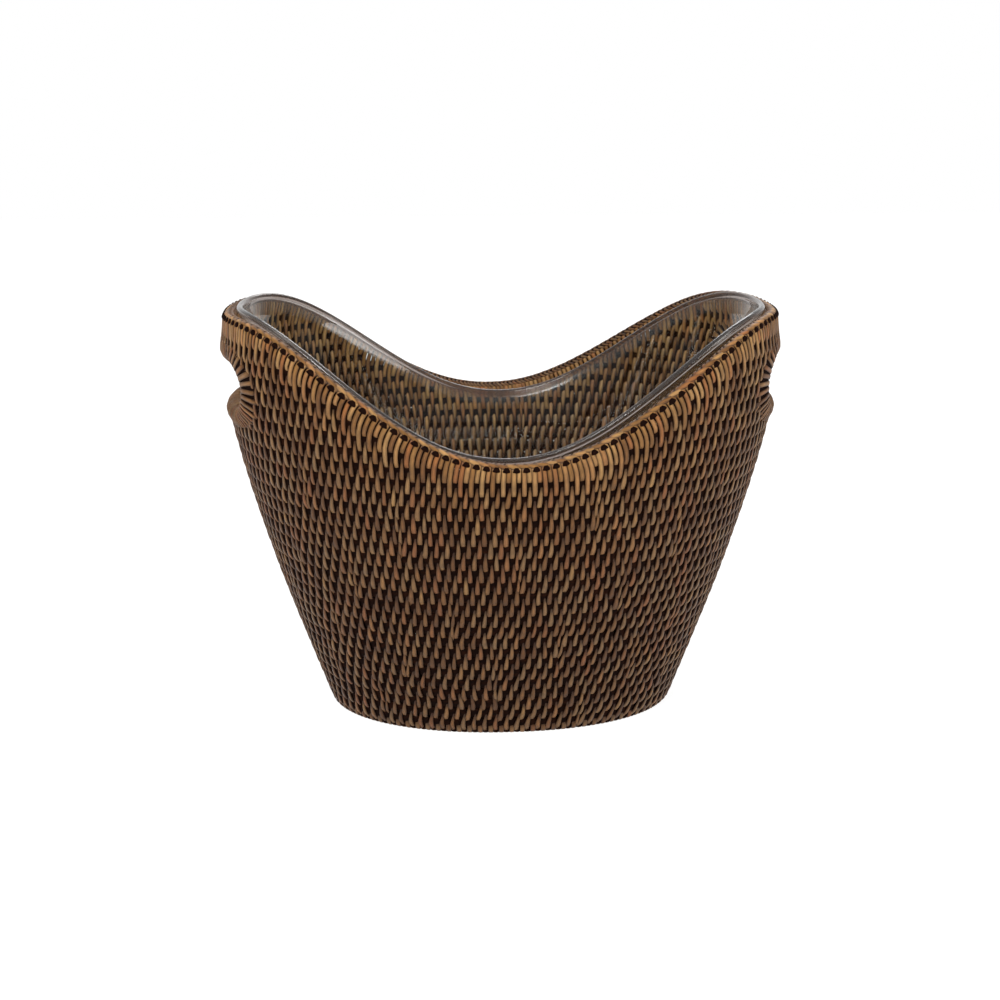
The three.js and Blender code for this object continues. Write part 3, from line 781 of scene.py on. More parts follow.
class HandHole:
    """The outline of a hand hole on one end of the wall, by a share of the way round it."""

    # A step in the share of the way round, and how far in a point is taken to tell which side is the hole.
    STEP, INSET = 0.001, 5 * MM
    # The lacing lies this far over the wall's own strands, and both its ends dive this far below that.
    PROUD, TUCK = 0.1 * MM, 1.3 * MM
    # How much higher it lies over the pole of the lip, on the wall and where it turns round.
    SHOULDER, CROWN = 0.2 * MM, 0.4 * MM
    # The angles of its turn round the lip, from the outside of the wall to the inside.
    TURNS = (75, 50, 25, 0, -25, -50, -75)
    # The lower lip's bulge starts where the sine of the outline's direction is below this.
    LOW_SIDE = 0.3
    # The bulge fades out from the lip to this share of the reach.
    BULGE_END = 1.1

    def __init__(self, wall, s, side):
        self.wall, self.side, self.s = wall, side, s
        self.radius = s.clear_height / 2 + s.lip_radius
        self.straight = s.clear_length / 2 - s.clear_height / 2
        self.middle_height = wall.top - s.drop
        self.length = 4 * self.straight + TAU * self.radius

    def flat(self, share, margin):
        """[along the end, height] on the outline grown by a margin, and the direction out of the hole."""
        way = (share % 1) * self.length
        arc, run, quarter = math.pi * self.radius, 2 * self.straight, math.pi / 2
        parts = [way < arc, way < arc + run, way < 2 * arc + run]
        turns = [way / self.radius - quarter, quarter, (way - arc - run) / self.radius + quarter]
        turn = np.select(parts, turns, -quarter)
        middles = [self.straight, self.straight - (way - arc), -self.straight]
        centre = np.select(parts, middles, way - 2 * arc - run - self.straight)
        reach = self.radius + margin
        return centre + reach * np.cos(turn), self.middle_height + reach * np.sin(turn), turn

    def at(self, share, margin):
        """A point of the wall's middle surface on the grown outline, with the wall's outward direction."""
        along, height, _ = self.flat(share, margin)
        a, b = self.wall.halves(height)
        power = self.wall.s.oval_power
        x = a * (1 - np.abs(along / b) ** power) ** (1 / power)
        point = np.stack([self.side * x, self.side * along, height], axis=-1)
        return point, self.wall.normal(point)

    def reach(self, cosine):
        """How far the lacing runs out over the wall, by how much the outline faces along the wall."""
        return self.s.lace_reach + (self.s.lace_reach_ends - self.s.lace_reach) * cosine**2

    def beyond(self, points, share):
        """How far wall points are outside the lacing. A share of 0 counts from the middle of the lip."""
        along = np.maximum(np.abs(points[..., 1]) - self.straight, 0)
        high = points[..., 2] - self.middle_height
        far = np.hypot(along, high)
        flat = far - self.radius - share * self.reach(along / np.maximum(far, 1e-9))
        return np.where(points[..., 0] * self.side > 0, flat, 1.0)

    def lace(self, share, reach, depth):
        """The way of strands laced through the hole, from outside the wall round the lip to its inside: their
        points and outward directions, this much deeper than the wall's own strands."""
        face = self.wall.s.half_wall + self.PROUD - depth
        low = smooth(self.LOW_SIDE - np.sin(self.flat(share, 0)[2])) * self.s.lower_bulge
        edge, normal = self.at(share, 0)
        behind, ahead = self.at(share - self.STEP, 0)[0], self.at(share + self.STEP, 0)[0]
        inward = unit(np.cross(normal, unit(ahead - behind)))
        inside = self.at(share, -self.INSET)[0] - edge
        inward = inward * np.sign((inside * inward).sum(axis=1))[:, None]
        shelf = ((1.12, face - self.TUCK), (0.95, face), (0.6, face), (0.25, face + self.SHOULDER))
        outside, within = [], []
        for place, height in shelf:
            point, out = self.at(share, reach * place)
            rise = height + low * smooth(self.BULGE_END - place)
            outside.append((point + out * rise[:, None], out))
            within.insert(0, (point - out * height, -out))
        lip = []
        for a in [math.radians(degrees) for degrees in self.TURNS]:
            out_part = math.sin(a) * (face + (low if a > 0 else 0) + self.CROWN + 0 * low)
            in_part = math.cos(a) * (self.s.lip_radius - depth) + 0 * low
            point = edge + normal * out_part[:, None] + inward * in_part[:, None]
            lip.append((point, unit(normal * math.sin(a) + inward * math.cos(a))))
        centres, outs = zip(*outside, *lip, *within)
        return np.stack(centres, axis=1), np.stack(outs, axis=1)


def hand_holes(wall):
    return [HandHole(wall, bpy.context.scene.bucket_hand_hole, side) for side in (-1, 1)]


def clear_of_holes(wall, share, z, reach):
    """Whether points of the wall are outside this share of the lacing's reach, at both hand holes."""
    points = wall.middle(wall.angle(share, z), z)
    return np.minimum(*[hole.beyond(points, reach) for hole in hand_holes(wall)]) > 0


# How golden the peel is at the rim and far below it, and the depth over which that fades.
GOLD_AT_RIM, GOLD_BELOW, GOLD_FADE = 0.78, 0.08, 24 * MM


def golden(wall, share, z):
    """How golden the peel is: full at the rim, fading down the wall."""
    depth = wall.rim_at(share) - z
    return GOLD_AT_RIM * np.exp(-np.maximum(depth, 0) / GOLD_FADE) + GOLD_BELOW


# A strand of a skin is followed from one strip's middle to the next but one. It needs more than this number
# of free places out of those tried, and ends at this share of the way to both strips.
TRIES, FEWEST_FREE, STRAND_END = 41, 6, 0.94
STRAND_STATIONS = 8
# Shares of the lacing's reach that strands and strips stay clear of, and how far strands run below the middle
# of the base hoop.
STRANDS_UNDER_LACING, STRIPS_UNDER_LACING, BELOW_HOOP = 0.85, 0.5, 2 * MM
# How much of a strand's lean is lost at the low rim, and how much of its untidiness goes into its lean and
# into its height.
LEAN_LOSS, UNTIDY_LEAN, UNTIDY_HEIGHT = 0.65, 0.25, 2
# Spread of the strands' height over the strips and of their widths, and the width of a new one.
LIFT_SPREAD, WIDTH_SPREAD, NEW_STRAND = 0.05 * MM, 0.06, 0.6
# From 0 over the strip to 1 at its slim end, the start and span over which a strand narrows and its painted
# shade, with some stain, comes on, and from 0 to 1 at its blunt end, those of its painted shade.
NARROWING, SLIM_STAIN, BLUNT_STAIN = (-0.3, 1.1), (0, 0.85), (0.66, 0.16)


def skin_strands(name, wall, columns, side, node):
    """The upright strands of one skin, over one strip and under the next. Side is 1 for the outer skin."""
    s, w, random = bpy.context.scene.bucket_weave, wall.s, columns.random
    column, over = np.meshgrid(np.arange(columns.count()), np.arange(1, len(columns.rows) - 1), indexing="ij")
    woven = ((over + columns.parity[:, None]) % 2 == 0) & (over >= columns.born[:, None])
    column, over = column[woven], over[woven]
    limit = columns.row(wall.rim_at(rim_meeting(wall, columns)) - s.rim_margin)
    whole = over + 1 < limit[column]
    column, over = column[whole], over[whole]

    tries = np.linspace(-1, 1, TRIES)
    rows = over[:, None] + tries[None, :]
    heights = columns.height(rows)
    free = clear_of_holes(wall, columns.share(column[:, None], rows), heights, STRANDS_UNDER_LACING)
    free &= heights > w.hoop_height - BELOW_HOOP
    enough = free.sum(axis=1) > FEWEST_FREE
    column, over, free = column[enough], over[enough], free[enough]
    first = np.maximum(tries[free.argmax(axis=1)], -STRAND_END)
    last = np.minimum(tries[len(tries) - 1 - free[:, ::-1].argmax(axis=1)], STRAND_END)

    t = first[:, None] + (last - first)[:, None] * np.linspace(0, 1, STRAND_STATIONS)[None, :]
    rows = over[:, None] + t
    z = columns.height(rows)
    middle_height = columns.height(over.astype(float))
    wander = random.normal(0, 1, (3, len(column))) * s.untidy
    upright = 1 - LEAN_LOSS * np.clip(middle_height / w.rim_low, 0, 1)
    lean = s.lean * upright + UNTIDY_LEAN * wander[0] / MM
    sideways = side * lean[:, None] * (z - middle_height[:, None]) + wander[1][:, None]
    z = z + UNTIDY_HEIGHT * wander[2][:, None]
    share = columns.share(column[:, None], rows) + sideways / wall.girth(z)
    # Towards the slim end, which is up on the outside and down on the inside.
    slim = side * t
    bulge = signed_power(np.cos(math.pi * t * np.where(slim > 0, 1 - s.slow_dive, 1)), s.bulge_power)
    lift = random.normal(0, LIFT_SPREAD, len(column))[:, None]
    centres, outs = wall.at(share, z, side * (w.skin_middle + s.swing * bulge + lift))
    grown = NEW_STRAND + (1 - NEW_STRAND) * columns.weight[column, over]
    full = grown * (1 + random.normal(0, WIDTH_SPREAD, len(column)))
    widths = full[:, None] * (1 - (1 - s.taper) * smooth(slim, *NARROWING))
    # Painted shade, with some stain, at both ends where a strand dives under a strip. It reaches further from
    # the slim end: the top of an outer strand, under the strip above it, and the bottom of an inner one, away
    # from the light from above.
    stain = s.stain_depth * np.maximum(smooth(slim, *SLIM_STAIN) ** 1.3, smooth(-slim, *BLUNT_STAIN))
    blank = Blank(s.strand_width, s.strand_thickness, STRAND_STATIONS, steps=2 if side > 0 else 1)
    looks = (random.rand(len(column)), golden(wall, share, z), stain)
    strand_pieces(name, blank, (centres, side * outs, widths), looks, "woven_rattan", node)


MEETING_TRIES = 10


def rim_meeting(wall, columns):
    """The share where each strand meets the rim: it is moved down the slope, so that it can turn square to
    the rim."""
    bend = bpy.context.scene.bucket_weave.rim_bend
    column = np.arange(columns.count())
    z = np.full(len(column), wall.s.rim_low + wall.s.rim_rise / 2)
    share = columns.share(column, columns.row(z))
    for _ in range(MEETING_TRIES):
        shift = -0.5 * bend * wall.rim_slope(share) / wall.girth(z)
        share = columns.share(column, columns.row(z)) + shift
        z = wall.rim_at(share)
    return share


# The stations of a strand that ends at the rim, closer where it bends.
RIM_STATIONS = np.array([0, 0.1, 0.2, 0.34, 0.5, 0.66, 0.8, 0.9, 1.0])
# It starts this far above a strip's middle, comes out over this height below the rim, and tucks in this much.
RIM_START, RIM_OUT, LOOP_TUCK = 0.5 * MM, 8 * MM, 0.5 * MM
RIM_WIDTH = 0.95
# It has come out from behind the strip, and the painted shade, with some stain, near the strip has ended, at
# these shares of a row.
RIM_RISE, RIM_STAIN = 0.5, 0.3


def rim_strands(name, wall, columns, side, node):
    """The last stretch of each upright strand: from under the highest strip that it passes behind, up to the
    rim and over the hoop."""
    s, w, r = bpy.context.scene.bucket_weave, wall.s, bpy.context.scene.bucket_rim
    random = columns.random
    column = np.arange(columns.count())
    meet_share = rim_meeting(wall, columns)
    meet_height = wall.rim_at(meet_share)
    under = np.floor(columns.row(meet_height - s.rim_margin))
    under = under - ((under + columns.parity) % 2 == 0)
    slope = wall.rim_slope(meet_share)

    straight = meet_height - (columns.height(under) + RIM_START)
    loop_end = r.loop_end if side > 0 else r.inner_loop_end
    way = RIM_STATIONS[None, :] * (straight + r.loop_radius * loop_end)[:, None]
    depth = np.maximum(straight[:, None] - way, 0)
    z = meet_height[:, None] - depth
    bend = np.maximum(1 - depth / s.rim_bend, 0) ** 2
    shift = -0.5 * s.rim_bend * slope[:, None] * bend
    meet = columns.share(column, columns.row(meet_height))
    rest = columns.share(column[:, None], columns.row(z)) - meet[:, None]
    base = meet_share + 0.5 * s.rim_bend * slope / wall.girth(meet_height)
    share = base[:, None] + rest + shift / wall.girth(z)
    pitch = s.row_pitch_low + s.row_pitch_rise
    offset = w.skin_middle - s.swing + 2 * s.swing * smooth(way / (RIM_RISE * pitch))
    offset = offset + (r.loop_radius - w.skin_middle - s.swing) * smooth(1 - depth / RIM_OUT)
    centres, outs = wall.at(share, z, side * offset)
    over = np.maximum(way - straight[:, None], 0) / r.loop_radius
    turn = over if side > 0 else math.pi - over
    looped, facing = wall.round_rim(share, turn, r.loop_radius - LOOP_TUCK * smooth(over / loop_end))
    high = (over > 0)[..., None]
    centres, outs = np.where(high, looped, centres), np.where(high, facing, side * outs)
    widths = RIM_WIDTH + random.normal(0, WIDTH_SPREAD, (len(column), 1)) + 0 * way
    stain = s.stain_depth * smooth(1 - way / (RIM_STAIN * pitch))
    blank = Blank(s.strand_width, s.strand_thickness, RIM_STATIONS.size)
    looks = (random.rand(len(column)), golden(wall, share, z), stain)
    strand_pieces(name, blank, (centres, outs, widths), looks, "woven_rattan", node)


# Dark strips go on above the strands' last full row by this share of the margin below the rim.
STRIP_MARGIN = 0.8
# Height of the lowest strip, as a multiple of the height of its middle.
LOWEST_PITCH = 1.05
STRIP_STATIONS = 5


def skin_strips(name, wall, columns, side, node):
    """The dark strips that cross a skin, seen between the strands that pass behind them."""
    s, w = bpy.context.scene.bucket_weave, wall.s
    limit = columns.row(wall.rim_at(rim_meeting(wall, columns)) - STRIP_MARGIN * s.rim_margin)
    column, row = np.meshgrid(np.arange(columns.count()), np.arange(0, len(columns.rows)), indexing="ij")
    seen_here = ((row + columns.parity[:, None]) % 2 == 1) & (row >= columns.born[:, None])
    seen_here &= row < limit[:, None]
    column, row = column[seen_here], row[seen_here]
    count = columns.count()
    here = columns.shares[column, row]
    left = columns.shares[column - 1, row] - (column == 0)
    right = columns.shares[(column + 1) % count, row] + (column == count - 1)
    t = np.linspace(-1, 1, STRIP_STATIONS)[None, :]
    share = here[:, None] + np.where(t < 0, (here - left)[:, None] * t, (right - here)[:, None] * t)
    z = np.maximum(columns.rows[row], s.lowest_strip)[:, None] + 0 * share
    free = clear_of_holes(wall, share, z, STRIPS_UNDER_LACING).all(axis=1)
    share, z, column, row = share[free], z[free], column[free], row[free]
    offset = side * (w.skin_middle + s.strip_place + s.strip_swing * np.cos(math.pi * t))
    centres, outs = wall.at(share, z, offset + 0 * share)
    pitch = np.where(row > 0, columns.rows[row] - columns.rows[row - 1], LOWEST_PITCH * s.lowest_strip)
    plain = 0 * share
    widths = (pitch * s.strip_share / MM)[:, None] + plain
    blank = Blank(1 * MM, s.strip_thickness, t.size, rounding=0.49, steps=2 if side > 0 else 1)
    looks = (columns.random.rand(len(column)), plain, plain)
    strand_pieces(name, blank, (centres, side * outs, widths), looks, "dark_rattan", node)


def weave_skin(name, side, seed):
    """Weaves one skin: its strands, their last stretch up to the rim, and its dark strips."""
    wall = Wall(bpy.context.scene.bucket_wall)
    columns = Columns(wall, bpy.context.scene.bucket_weave, seed)
    for part, weave in (("strands", skin_strands), ("rim_strands", rim_strands), ("strips", skin_strips)):
        weave(f"{name}_{part}", wall, columns, side, f"{name}_weave")
    return {"FINISHED"}


class BUCKET_OT_outer_weave(bpy.types.Operator):
    """Weave the outer skin of the wall"""

    bl_idname = "bucket.outer_weave"
    bl_label = "Outer weave"

    def execute(self, context):
        return weave_skin("outer", 1, SEED)


class BUCKET_OT_inner_weave(bpy.types.Operator):
    """Weave the inner skin of the wall"""

    bl_idname = "bucket.inner_weave"
    bl_label = "Inner weave"

    def execute(self, context):
        return weave_skin("inner", -1, SEED + 1)


CORE_SIDES = 10


def core_tube(name, centre, across, up, node, lowest=-1.0):
    """A dark closed tube: a core whose dark colour is painted shade for the gaps between the wraps of a hoop,
    and which lets no light through them; or the flat binding of the floor's edge."""
    turns = circle(CORE_SIDES)[:, None, None]
    rings = centre[None] + across[None] * np.cos(turns) + up[None] * np.sin(turns)
    rings[..., 2] = np.maximum(rings[..., 2], lowest)
    finish_piece(closed_sheet(name, rings, tube=True), "dark_rattan", node)


def pair_places(wall):
    """Shares of the way round the rim at the middle of each pair of outer strands."""
    shares = np.sort(rim_meeting(wall, Columns(wall, bpy.context.scene.bucket_weave, SEED)))
    return (shares[0::2] + shares[1::2]) / 2


def between(places, index):
    """The share at a fractional index of places that close on themselves."""
    count = len(places)
    turn = np.floor(index / count)
    local = index - turn * count
    return np.interp(local, np.arange(count + 1), np.append(places, places[0] + 1)) + turn


class BUCKET_OT_rim(bpy.types.Operator):
    """Plait the rim: dark dots of painted shadow over each pair of strands, a golden row and two finer brown
    rows on top
    """

    bl_idname = "bucket.rim"
    bl_label = "Rim"

    # A dark dot of painted shadow, where the gap at a pair of strands falls into shade: how far it stands
    # over the loops, how far its ends dive, its thickness, and how much narrower its ends are.
    DOT_PROUD, DOT_DIVE, DOT_THICKNESS, DOT_POINTED = 0.6 * MM, 0.7 * MM, 0.6 * MM, 0.8
    DOT_STATIONS, PLAIT_STATIONS = 6, 8
    # How far the golden row and the top row start before the ridge.
    GOLD_OVERLAP, TOP_OVERLAP = 0.2, 0.4
    # A strand of the plait: its arch, the spread of its place in pairs and of its width, how much narrower
    # its ends are, and where on the way to them its painted shade, with some stain, starts.
    ARCH, PLACE_SPREAD, PLAIT_SPREAD, PLAIT_POINTED, PLAIT_STAIN = 0.4 * MM, 0.05, 0.04, 0.5, 0.6

    def execute(self, context):
        wall = Wall(context.scene.bucket_wall)
        r = context.scene.bucket_rim
        random = np.random.RandomState(SEED + 2)
        places = pair_places(wall)
        count = len(places)
        share = np.linspace(0, 1, 2 * count, endpoint=False)
        centre = wall.round_rim(share, 0.0, 0.0)[0]
        across = wall.round_rim(share, 0.0, r.core_radius)[0] - centre
        up = wall.round_rim(share, math.pi / 2, r.core_radius)[0] - centre
        # A dark core of painted shade, seen through the gaps of the plait.
        core_tube("rim_core", centre, across, up, "rim_braid")

        # Dark dots of painted shadow at the pairs of strands.
        t = np.linspace(-1, 1, self.DOT_STATIONS)[None, :]
        share = between(places, np.arange(count)[:, None] + r.dot_length * t)
        radius = r.loop_radius + self.DOT_PROUD - self.DOT_DIVE * np.abs(t) ** 2.5
        widths = 1 - self.DOT_POINTED * np.abs(t) ** 1.2 + 0 * share
        turn = r.dot_angle - (1 - widths) * r.dot_height / 2 / r.loop_radius * r.dot_point
        path = (*wall.round_rim(share, turn, radius), widths)
        blank = Blank(r.dot_height, self.DOT_THICKNESS, t.size)
        looks = (random.rand(count), 0 * share, 0 * share)
        strand_pieces("rim_stitches", blank, path, looks, "dark_rattan", "rim_braid")

        t = np.linspace(0, 1, self.PLAIT_STATIONS)[None, :]
        ends = np.abs(2 * t - 1)
        gold_start, top_start = r.braid_ridge - self.GOLD_OVERLAP, r.braid_ridge - self.TOP_OVERLAP
        for name, start, end, run, width, per_pair, gold, dark in (
            ("rim_plait_outer", gold_start, r.braid_outer_end, r.outer_run, r.outer_width, 1, 1.0, 0.8),
            ("rim_plait_top", top_start, r.braid_inner, r.bead_run, r.bead_width, 2, 0.0, 0.6),
            ("rim_plait_inner", r.braid_end, r.braid_inner, r.bead_run, r.bead_width, 2, 0.0, 0.6),
        ):
            index = np.arange(per_pair * count)[:, None] / per_pair
            jitter = random.normal(0, self.PLACE_SPREAD / per_pair, index.shape)
            share = between(places, index + 0.5 + jitter + run * (t - 1))
            radius = r.braid_radius + self.ARCH * np.sin(math.pi * t) ** 0.7
            centres, facing = wall.round_rim(share, start + (end - start) * t, radius)
            widths = 1 - self.PLAIT_POINTED * ends**4 + random.normal(0, self.PLAIT_SPREAD, index.shape)
            stain = dark * smooth(ends, self.PLAIT_STAIN, 1 - self.PLAIT_STAIN) + 0 * share
            looks = (random.rand(len(index)), gold + 0 * share, stain)
            blank = Blank(width, r.braid_thickness, t.size)
            strand_pieces(name, blank, (centres, facing, widths), looks, "braided_rattan", "rim_braid")
        return {"FINISHED"}


class BUCKET_OT_hand_holes(bpy.types.Operator):
    """Lace the round lip of each hand hole: broad strands at its ends, and a fan of fine ones below"""

    bl_idname = "bucket.hand_holes"
    bl_label = "Hand holes"

    # The dark band of painted shade under the lacing, seen through the gaps between its strands: its
    # sections, its reach as a share of the lacing's, its depth and its thickness.
    BAND_SECTIONS, BAND_REACH, BAND_DEPTH, BAND_THICKNESS = 160, 1.05, 0.55 * MM, 0.6 * MM
    # Spread of the lacing's places, as shares of the way round, of its reach and of its widths.
    PLACE_SPREAD, REACH_SPREAD, WIDTH_SPREAD = 0.0006, 0.05, 0.05
    # The fan of fine strands reaches further at its sides, and has less gold. It grows this much faster than
    # the sine of the outline's way down, from just below the middle of the hole.
    FAN_REACH, FAN_GOLD_LOSS, FAN_GROWTH, FAN_DELAY = 0.35, 0.7, 1.5, 0.1
    # Where on the way to its ends a strand's painted shade, with some stain, starts, and over how much of it.
    STAIN = (0.82, 0.18)

    def execute(self, context):
        wall = Wall(context.scene.bucket_wall)
        s, weave = context.scene.bucket_hand_hole, context.scene.bucket_weave
        for hole, label in zip(hand_holes(wall), ("left", "right")):
            node = f"hand_hole_lacing_{label}"
            share = np.linspace(0, 1, self.BAND_SECTIONS, endpoint=False)
            reach = self.BAND_REACH * hole.reach(np.cos(hole.flat(share, 0)[2]))
            sheet, facing = hole.lace(share, reach, self.BAND_DEPTH)
            section = np.concatenate([sheet, (sheet - self.BAND_THICKNESS * facing)[:, ::-1]], axis=1)
            band = closed_sheet(f"hand_hole_band_{label}", section.transpose(1, 0, 2), tube=True)
            finish_piece(band, "dark_rattan", node)

            random = np.random.RandomState(SEED + 3 + hole.side)
            place, places = 0.0, []
            while place < 1:
                places.append(place)
                place += (s.lace_pitch - s.fan_pitch_cut * self.fan(hole, place)) / hole.length
            count = len(places)
            share = np.array(places) + random.normal(0, self.PLACE_SPREAD, count)
            fan = self.fan(hole, share)
            cosine = np.cos(hole.flat(share, 0)[2])
            spread = 1 + self.FAN_REACH * fan * cosine**2 + random.normal(0, self.REACH_SPREAD, count)
            centres, outs = hole.lace(share, hole.reach(cosine) * spread, 0.0)
            stations = centres.shape[1]
            blank = Blank(weave.strand_width, weave.strand_thickness, stations)
            flat = 0 * centres[..., 0]
            widths = (1 - s.fan_width_cut * fan + random.normal(0, self.WIDTH_SPREAD, count))[:, None] + flat
            ends = np.abs(np.linspace(-1, 1, stations))[None, :]
            stain = weave.stain_depth * smooth(ends, *self.STAIN) + flat
            gold = s.lace_gold * (1 - self.FAN_GOLD_LOSS * fan)[:, None] + flat
            looks = (random.rand(count), gold, stain)
            strand_pieces(f"{node}_strands", blank, (centres, outs, widths), looks, "woven_rattan", node)
        return {"FINISHED"}

    def fan(self, hole, share):
        """1 below the hole, where the strands are fine and close, and 0 above its middle."""
        down = -np.sin(hole.flat(np.asarray(share), 0)[2])
        return smooth(self.FAN_GROWTH * down, self.FAN_DELAY)


class BUCKET_OT_base(bpy.types.Operator):
    """Bind the base: each strand turns under the base hoop, from the outer skin to the inner one"""

    bl_idname = "bucket.base"
    bl_label = "Base binding"

    CORE_SECTIONS, STATIONS = 240, 10
    # The lowest point of the dark core of painted shade, and how far the strands lie off the hoop and off the
    # ground.
    CORE_LOWEST, OFF_HOOP, OFF_GROUND = 0.6 * MM, 0.25 * MM, 0.05 * MM
    # A strand that comes down over the last strip starts this many degrees above the middle of the hoop, one
    # from behind it as many below, and both end on the inside.
    START, END = 40, -212
    WIDTH, WIDTH_SPREAD = 1.02, 0.04
    # The painted shade, with some stain, of a strand starts at this share of its way, and has ended this much
    # earlier.
    STAIN_START, STAIN_SPAN = 0.16, 0.12

    def execute(self, context):
        wall = Wall(context.scene.bucket_wall)
        weave, w = context.scene.bucket_weave, wall.s
        share = np.linspace(0, 1, self.CORE_SECTIONS, endpoint=False)
        centre, normal = wall.at(share, w.hoop_height, 0)
        radius = w.hoop_height - weave.strand_thickness
        up = UP * radius + 0 * normal
        # A dark core of painted shade, seen through the gaps between the binding's strands.
        core_tube("base_core", centre, normal * radius, up, "base_binding", self.CORE_LOWEST)

        columns = Columns(wall, weave, SEED)
        first = np.flatnonzero(columns.born < 0)
        over = columns.parity[first] == 0
        random = columns.random
        share = columns.share(first, columns.row(w.hoop_height) + 0 * first)
        steps = np.linspace(0, 1, self.STATIONS)[None, :]
        start = np.where(over, self.START, -self.START)[:, None]
        turn = np.radians(start + (self.END - start) * steps)
        centre, normal = wall.at(share[:, None] + 0 * turn, w.hoop_height, 0)
        facing = unit(turned(normal, UP, turn))
        centres = centre + facing * (w.hoop_height + self.OFF_HOOP)
        centres[..., 2] = np.maximum(centres[..., 2], weave.strand_thickness / 2 + self.OFF_GROUND)
        blank = Blank(weave.strand_width, weave.strand_thickness, steps.size)
        widths = self.WIDTH + random.normal(0, self.WIDTH_SPREAD, (len(first), 1)) + 0 * turn
        dark = smooth((self.STAIN_START - steps) / self.STAIN_SPAN)
        stain = weave.stain_depth * dark * over[:, None] + 0 * turn
        looks = (random.rand(len(first)), GOLD_BELOW + 0 * turn, stain)
        path = (centres, facing, widths)
        strand_pieces("base_binding_strands", blank, path, looks, "woven_rattan", "base_binding")
        return {"FINISHED"}


class BUCKET_OT_floor(bpy.types.Operator):
    """Weave the floor panel, with broad strips that cross over and under, and bind its edge"""

    bl_idname = "bucket.floor"
    bl_label = "Woven floor"

    PITCH, WIDTH, THICKNESS, SWING = 6.2 * MM, 6.1 * MM, 0.7 * MM, 0.5 * MM
    GOLD = 0.15
    # The binding: its size, how far it reaches past the panel towards the wall, and its sections.
    EDGE_WIDTH, EDGE_HEIGHT, EDGE_REACH, EDGE_STEPS = 5.2 * MM, 1.8 * MM, 1.3 * MM, 120

    def execute(self, context):
        power = context.scene.bucket_wall.oval_power
        random = np.random.RandomState(SEED + 6)
        low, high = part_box("floor_weave")
        half = (np.array(high) - np.array(low)) / 2
        level = (low[2] + high[2]) / 2
        for name, axis, slot, swing in (
            ("floor_strips_long", 0, "woven_rattan", self.SWING),
            ("floor_strips_cross", 1, "dark_rattan", -self.SWING),
        ):
            other = 1 - axis
            most = int((half[other] - self.WIDTH / 2) / self.PITCH)
            places = np.arange(-most, most + 1)
            offset = places * self.PITCH
            reach = half[axis] * (1 - np.abs(offset / half[other]) ** power) ** (1 / power)
            stations = 2 * int(2 * half[axis] / self.PITCH) + 1
            along = np.linspace(-1, 1, stations)[None, :] * reach[:, None]
            centres = np.zeros((len(places), stations, 3))
            centres[..., axis] = along
            centres[..., other] = offset[:, None]
            centres[..., 2] = level + swing * np.cos(math.pi * along / self.PITCH + math.pi * places[:, None])
            blank = Blank(self.WIDTH, self.THICKNESS, stations, rounding=0.2, steps=1)
            looks = (random.rand(len(places)), self.GOLD + 0 * along, 0 * along)
            path = (centres, UP + 0 * centres, 1 + 0 * along)
            strand_pieces(name, blank, path, looks, slot, "floor_weave")
        self.edge(half, level, power)
        return {"FINISHED"}

    def edge(self, half, level, power):
        """A flat dark binding laid on the ends of the strips, up to the wall. Where it reaches over the gap
        to the wall, its dark is painted shade for the shaded ground under the bucket.
        """
        turn = circle(self.EDGE_STEPS)
        inset = self.EDGE_WIDTH / 2 - self.EDGE_REACH
        x, y = oval(half[0] - inset, half[1] - inset, turn, power)
        centre = np.stack([x, y, level + self.EDGE_HEIGHT / 3 + 0 * turn], axis=1)
        out = unit(np.stack([np.cos(turn) / half[0], np.sin(turn) / half[1], 0 * turn], axis=1))
        up = UP * (self.EDGE_HEIGHT / 2) + 0 * centre
        core_tube("floor_edge", centre, out * self.EDGE_WIDTH / 2, up, "floor_weave")


class BUCKET_OT_poles(bpy.types.Operator):
    """Stain the poles of the frame: its hoops and ribs, the floor bars and the hand holes' frames"""

    bl_idname = "bucket.poles"
    bl_label = "Poles"

    def execute(self, context):
        pole = material("stained rattan pole", stained_pole)
        for name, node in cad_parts.items():
            if name.startswith(("rib_", "rim_hoop", "base_hoop", "floor_bar_", "hand_hole_frame_")):
                node.data.materials.clear()
                node.data.materials.append(pole)
        return {"FINISHED"}


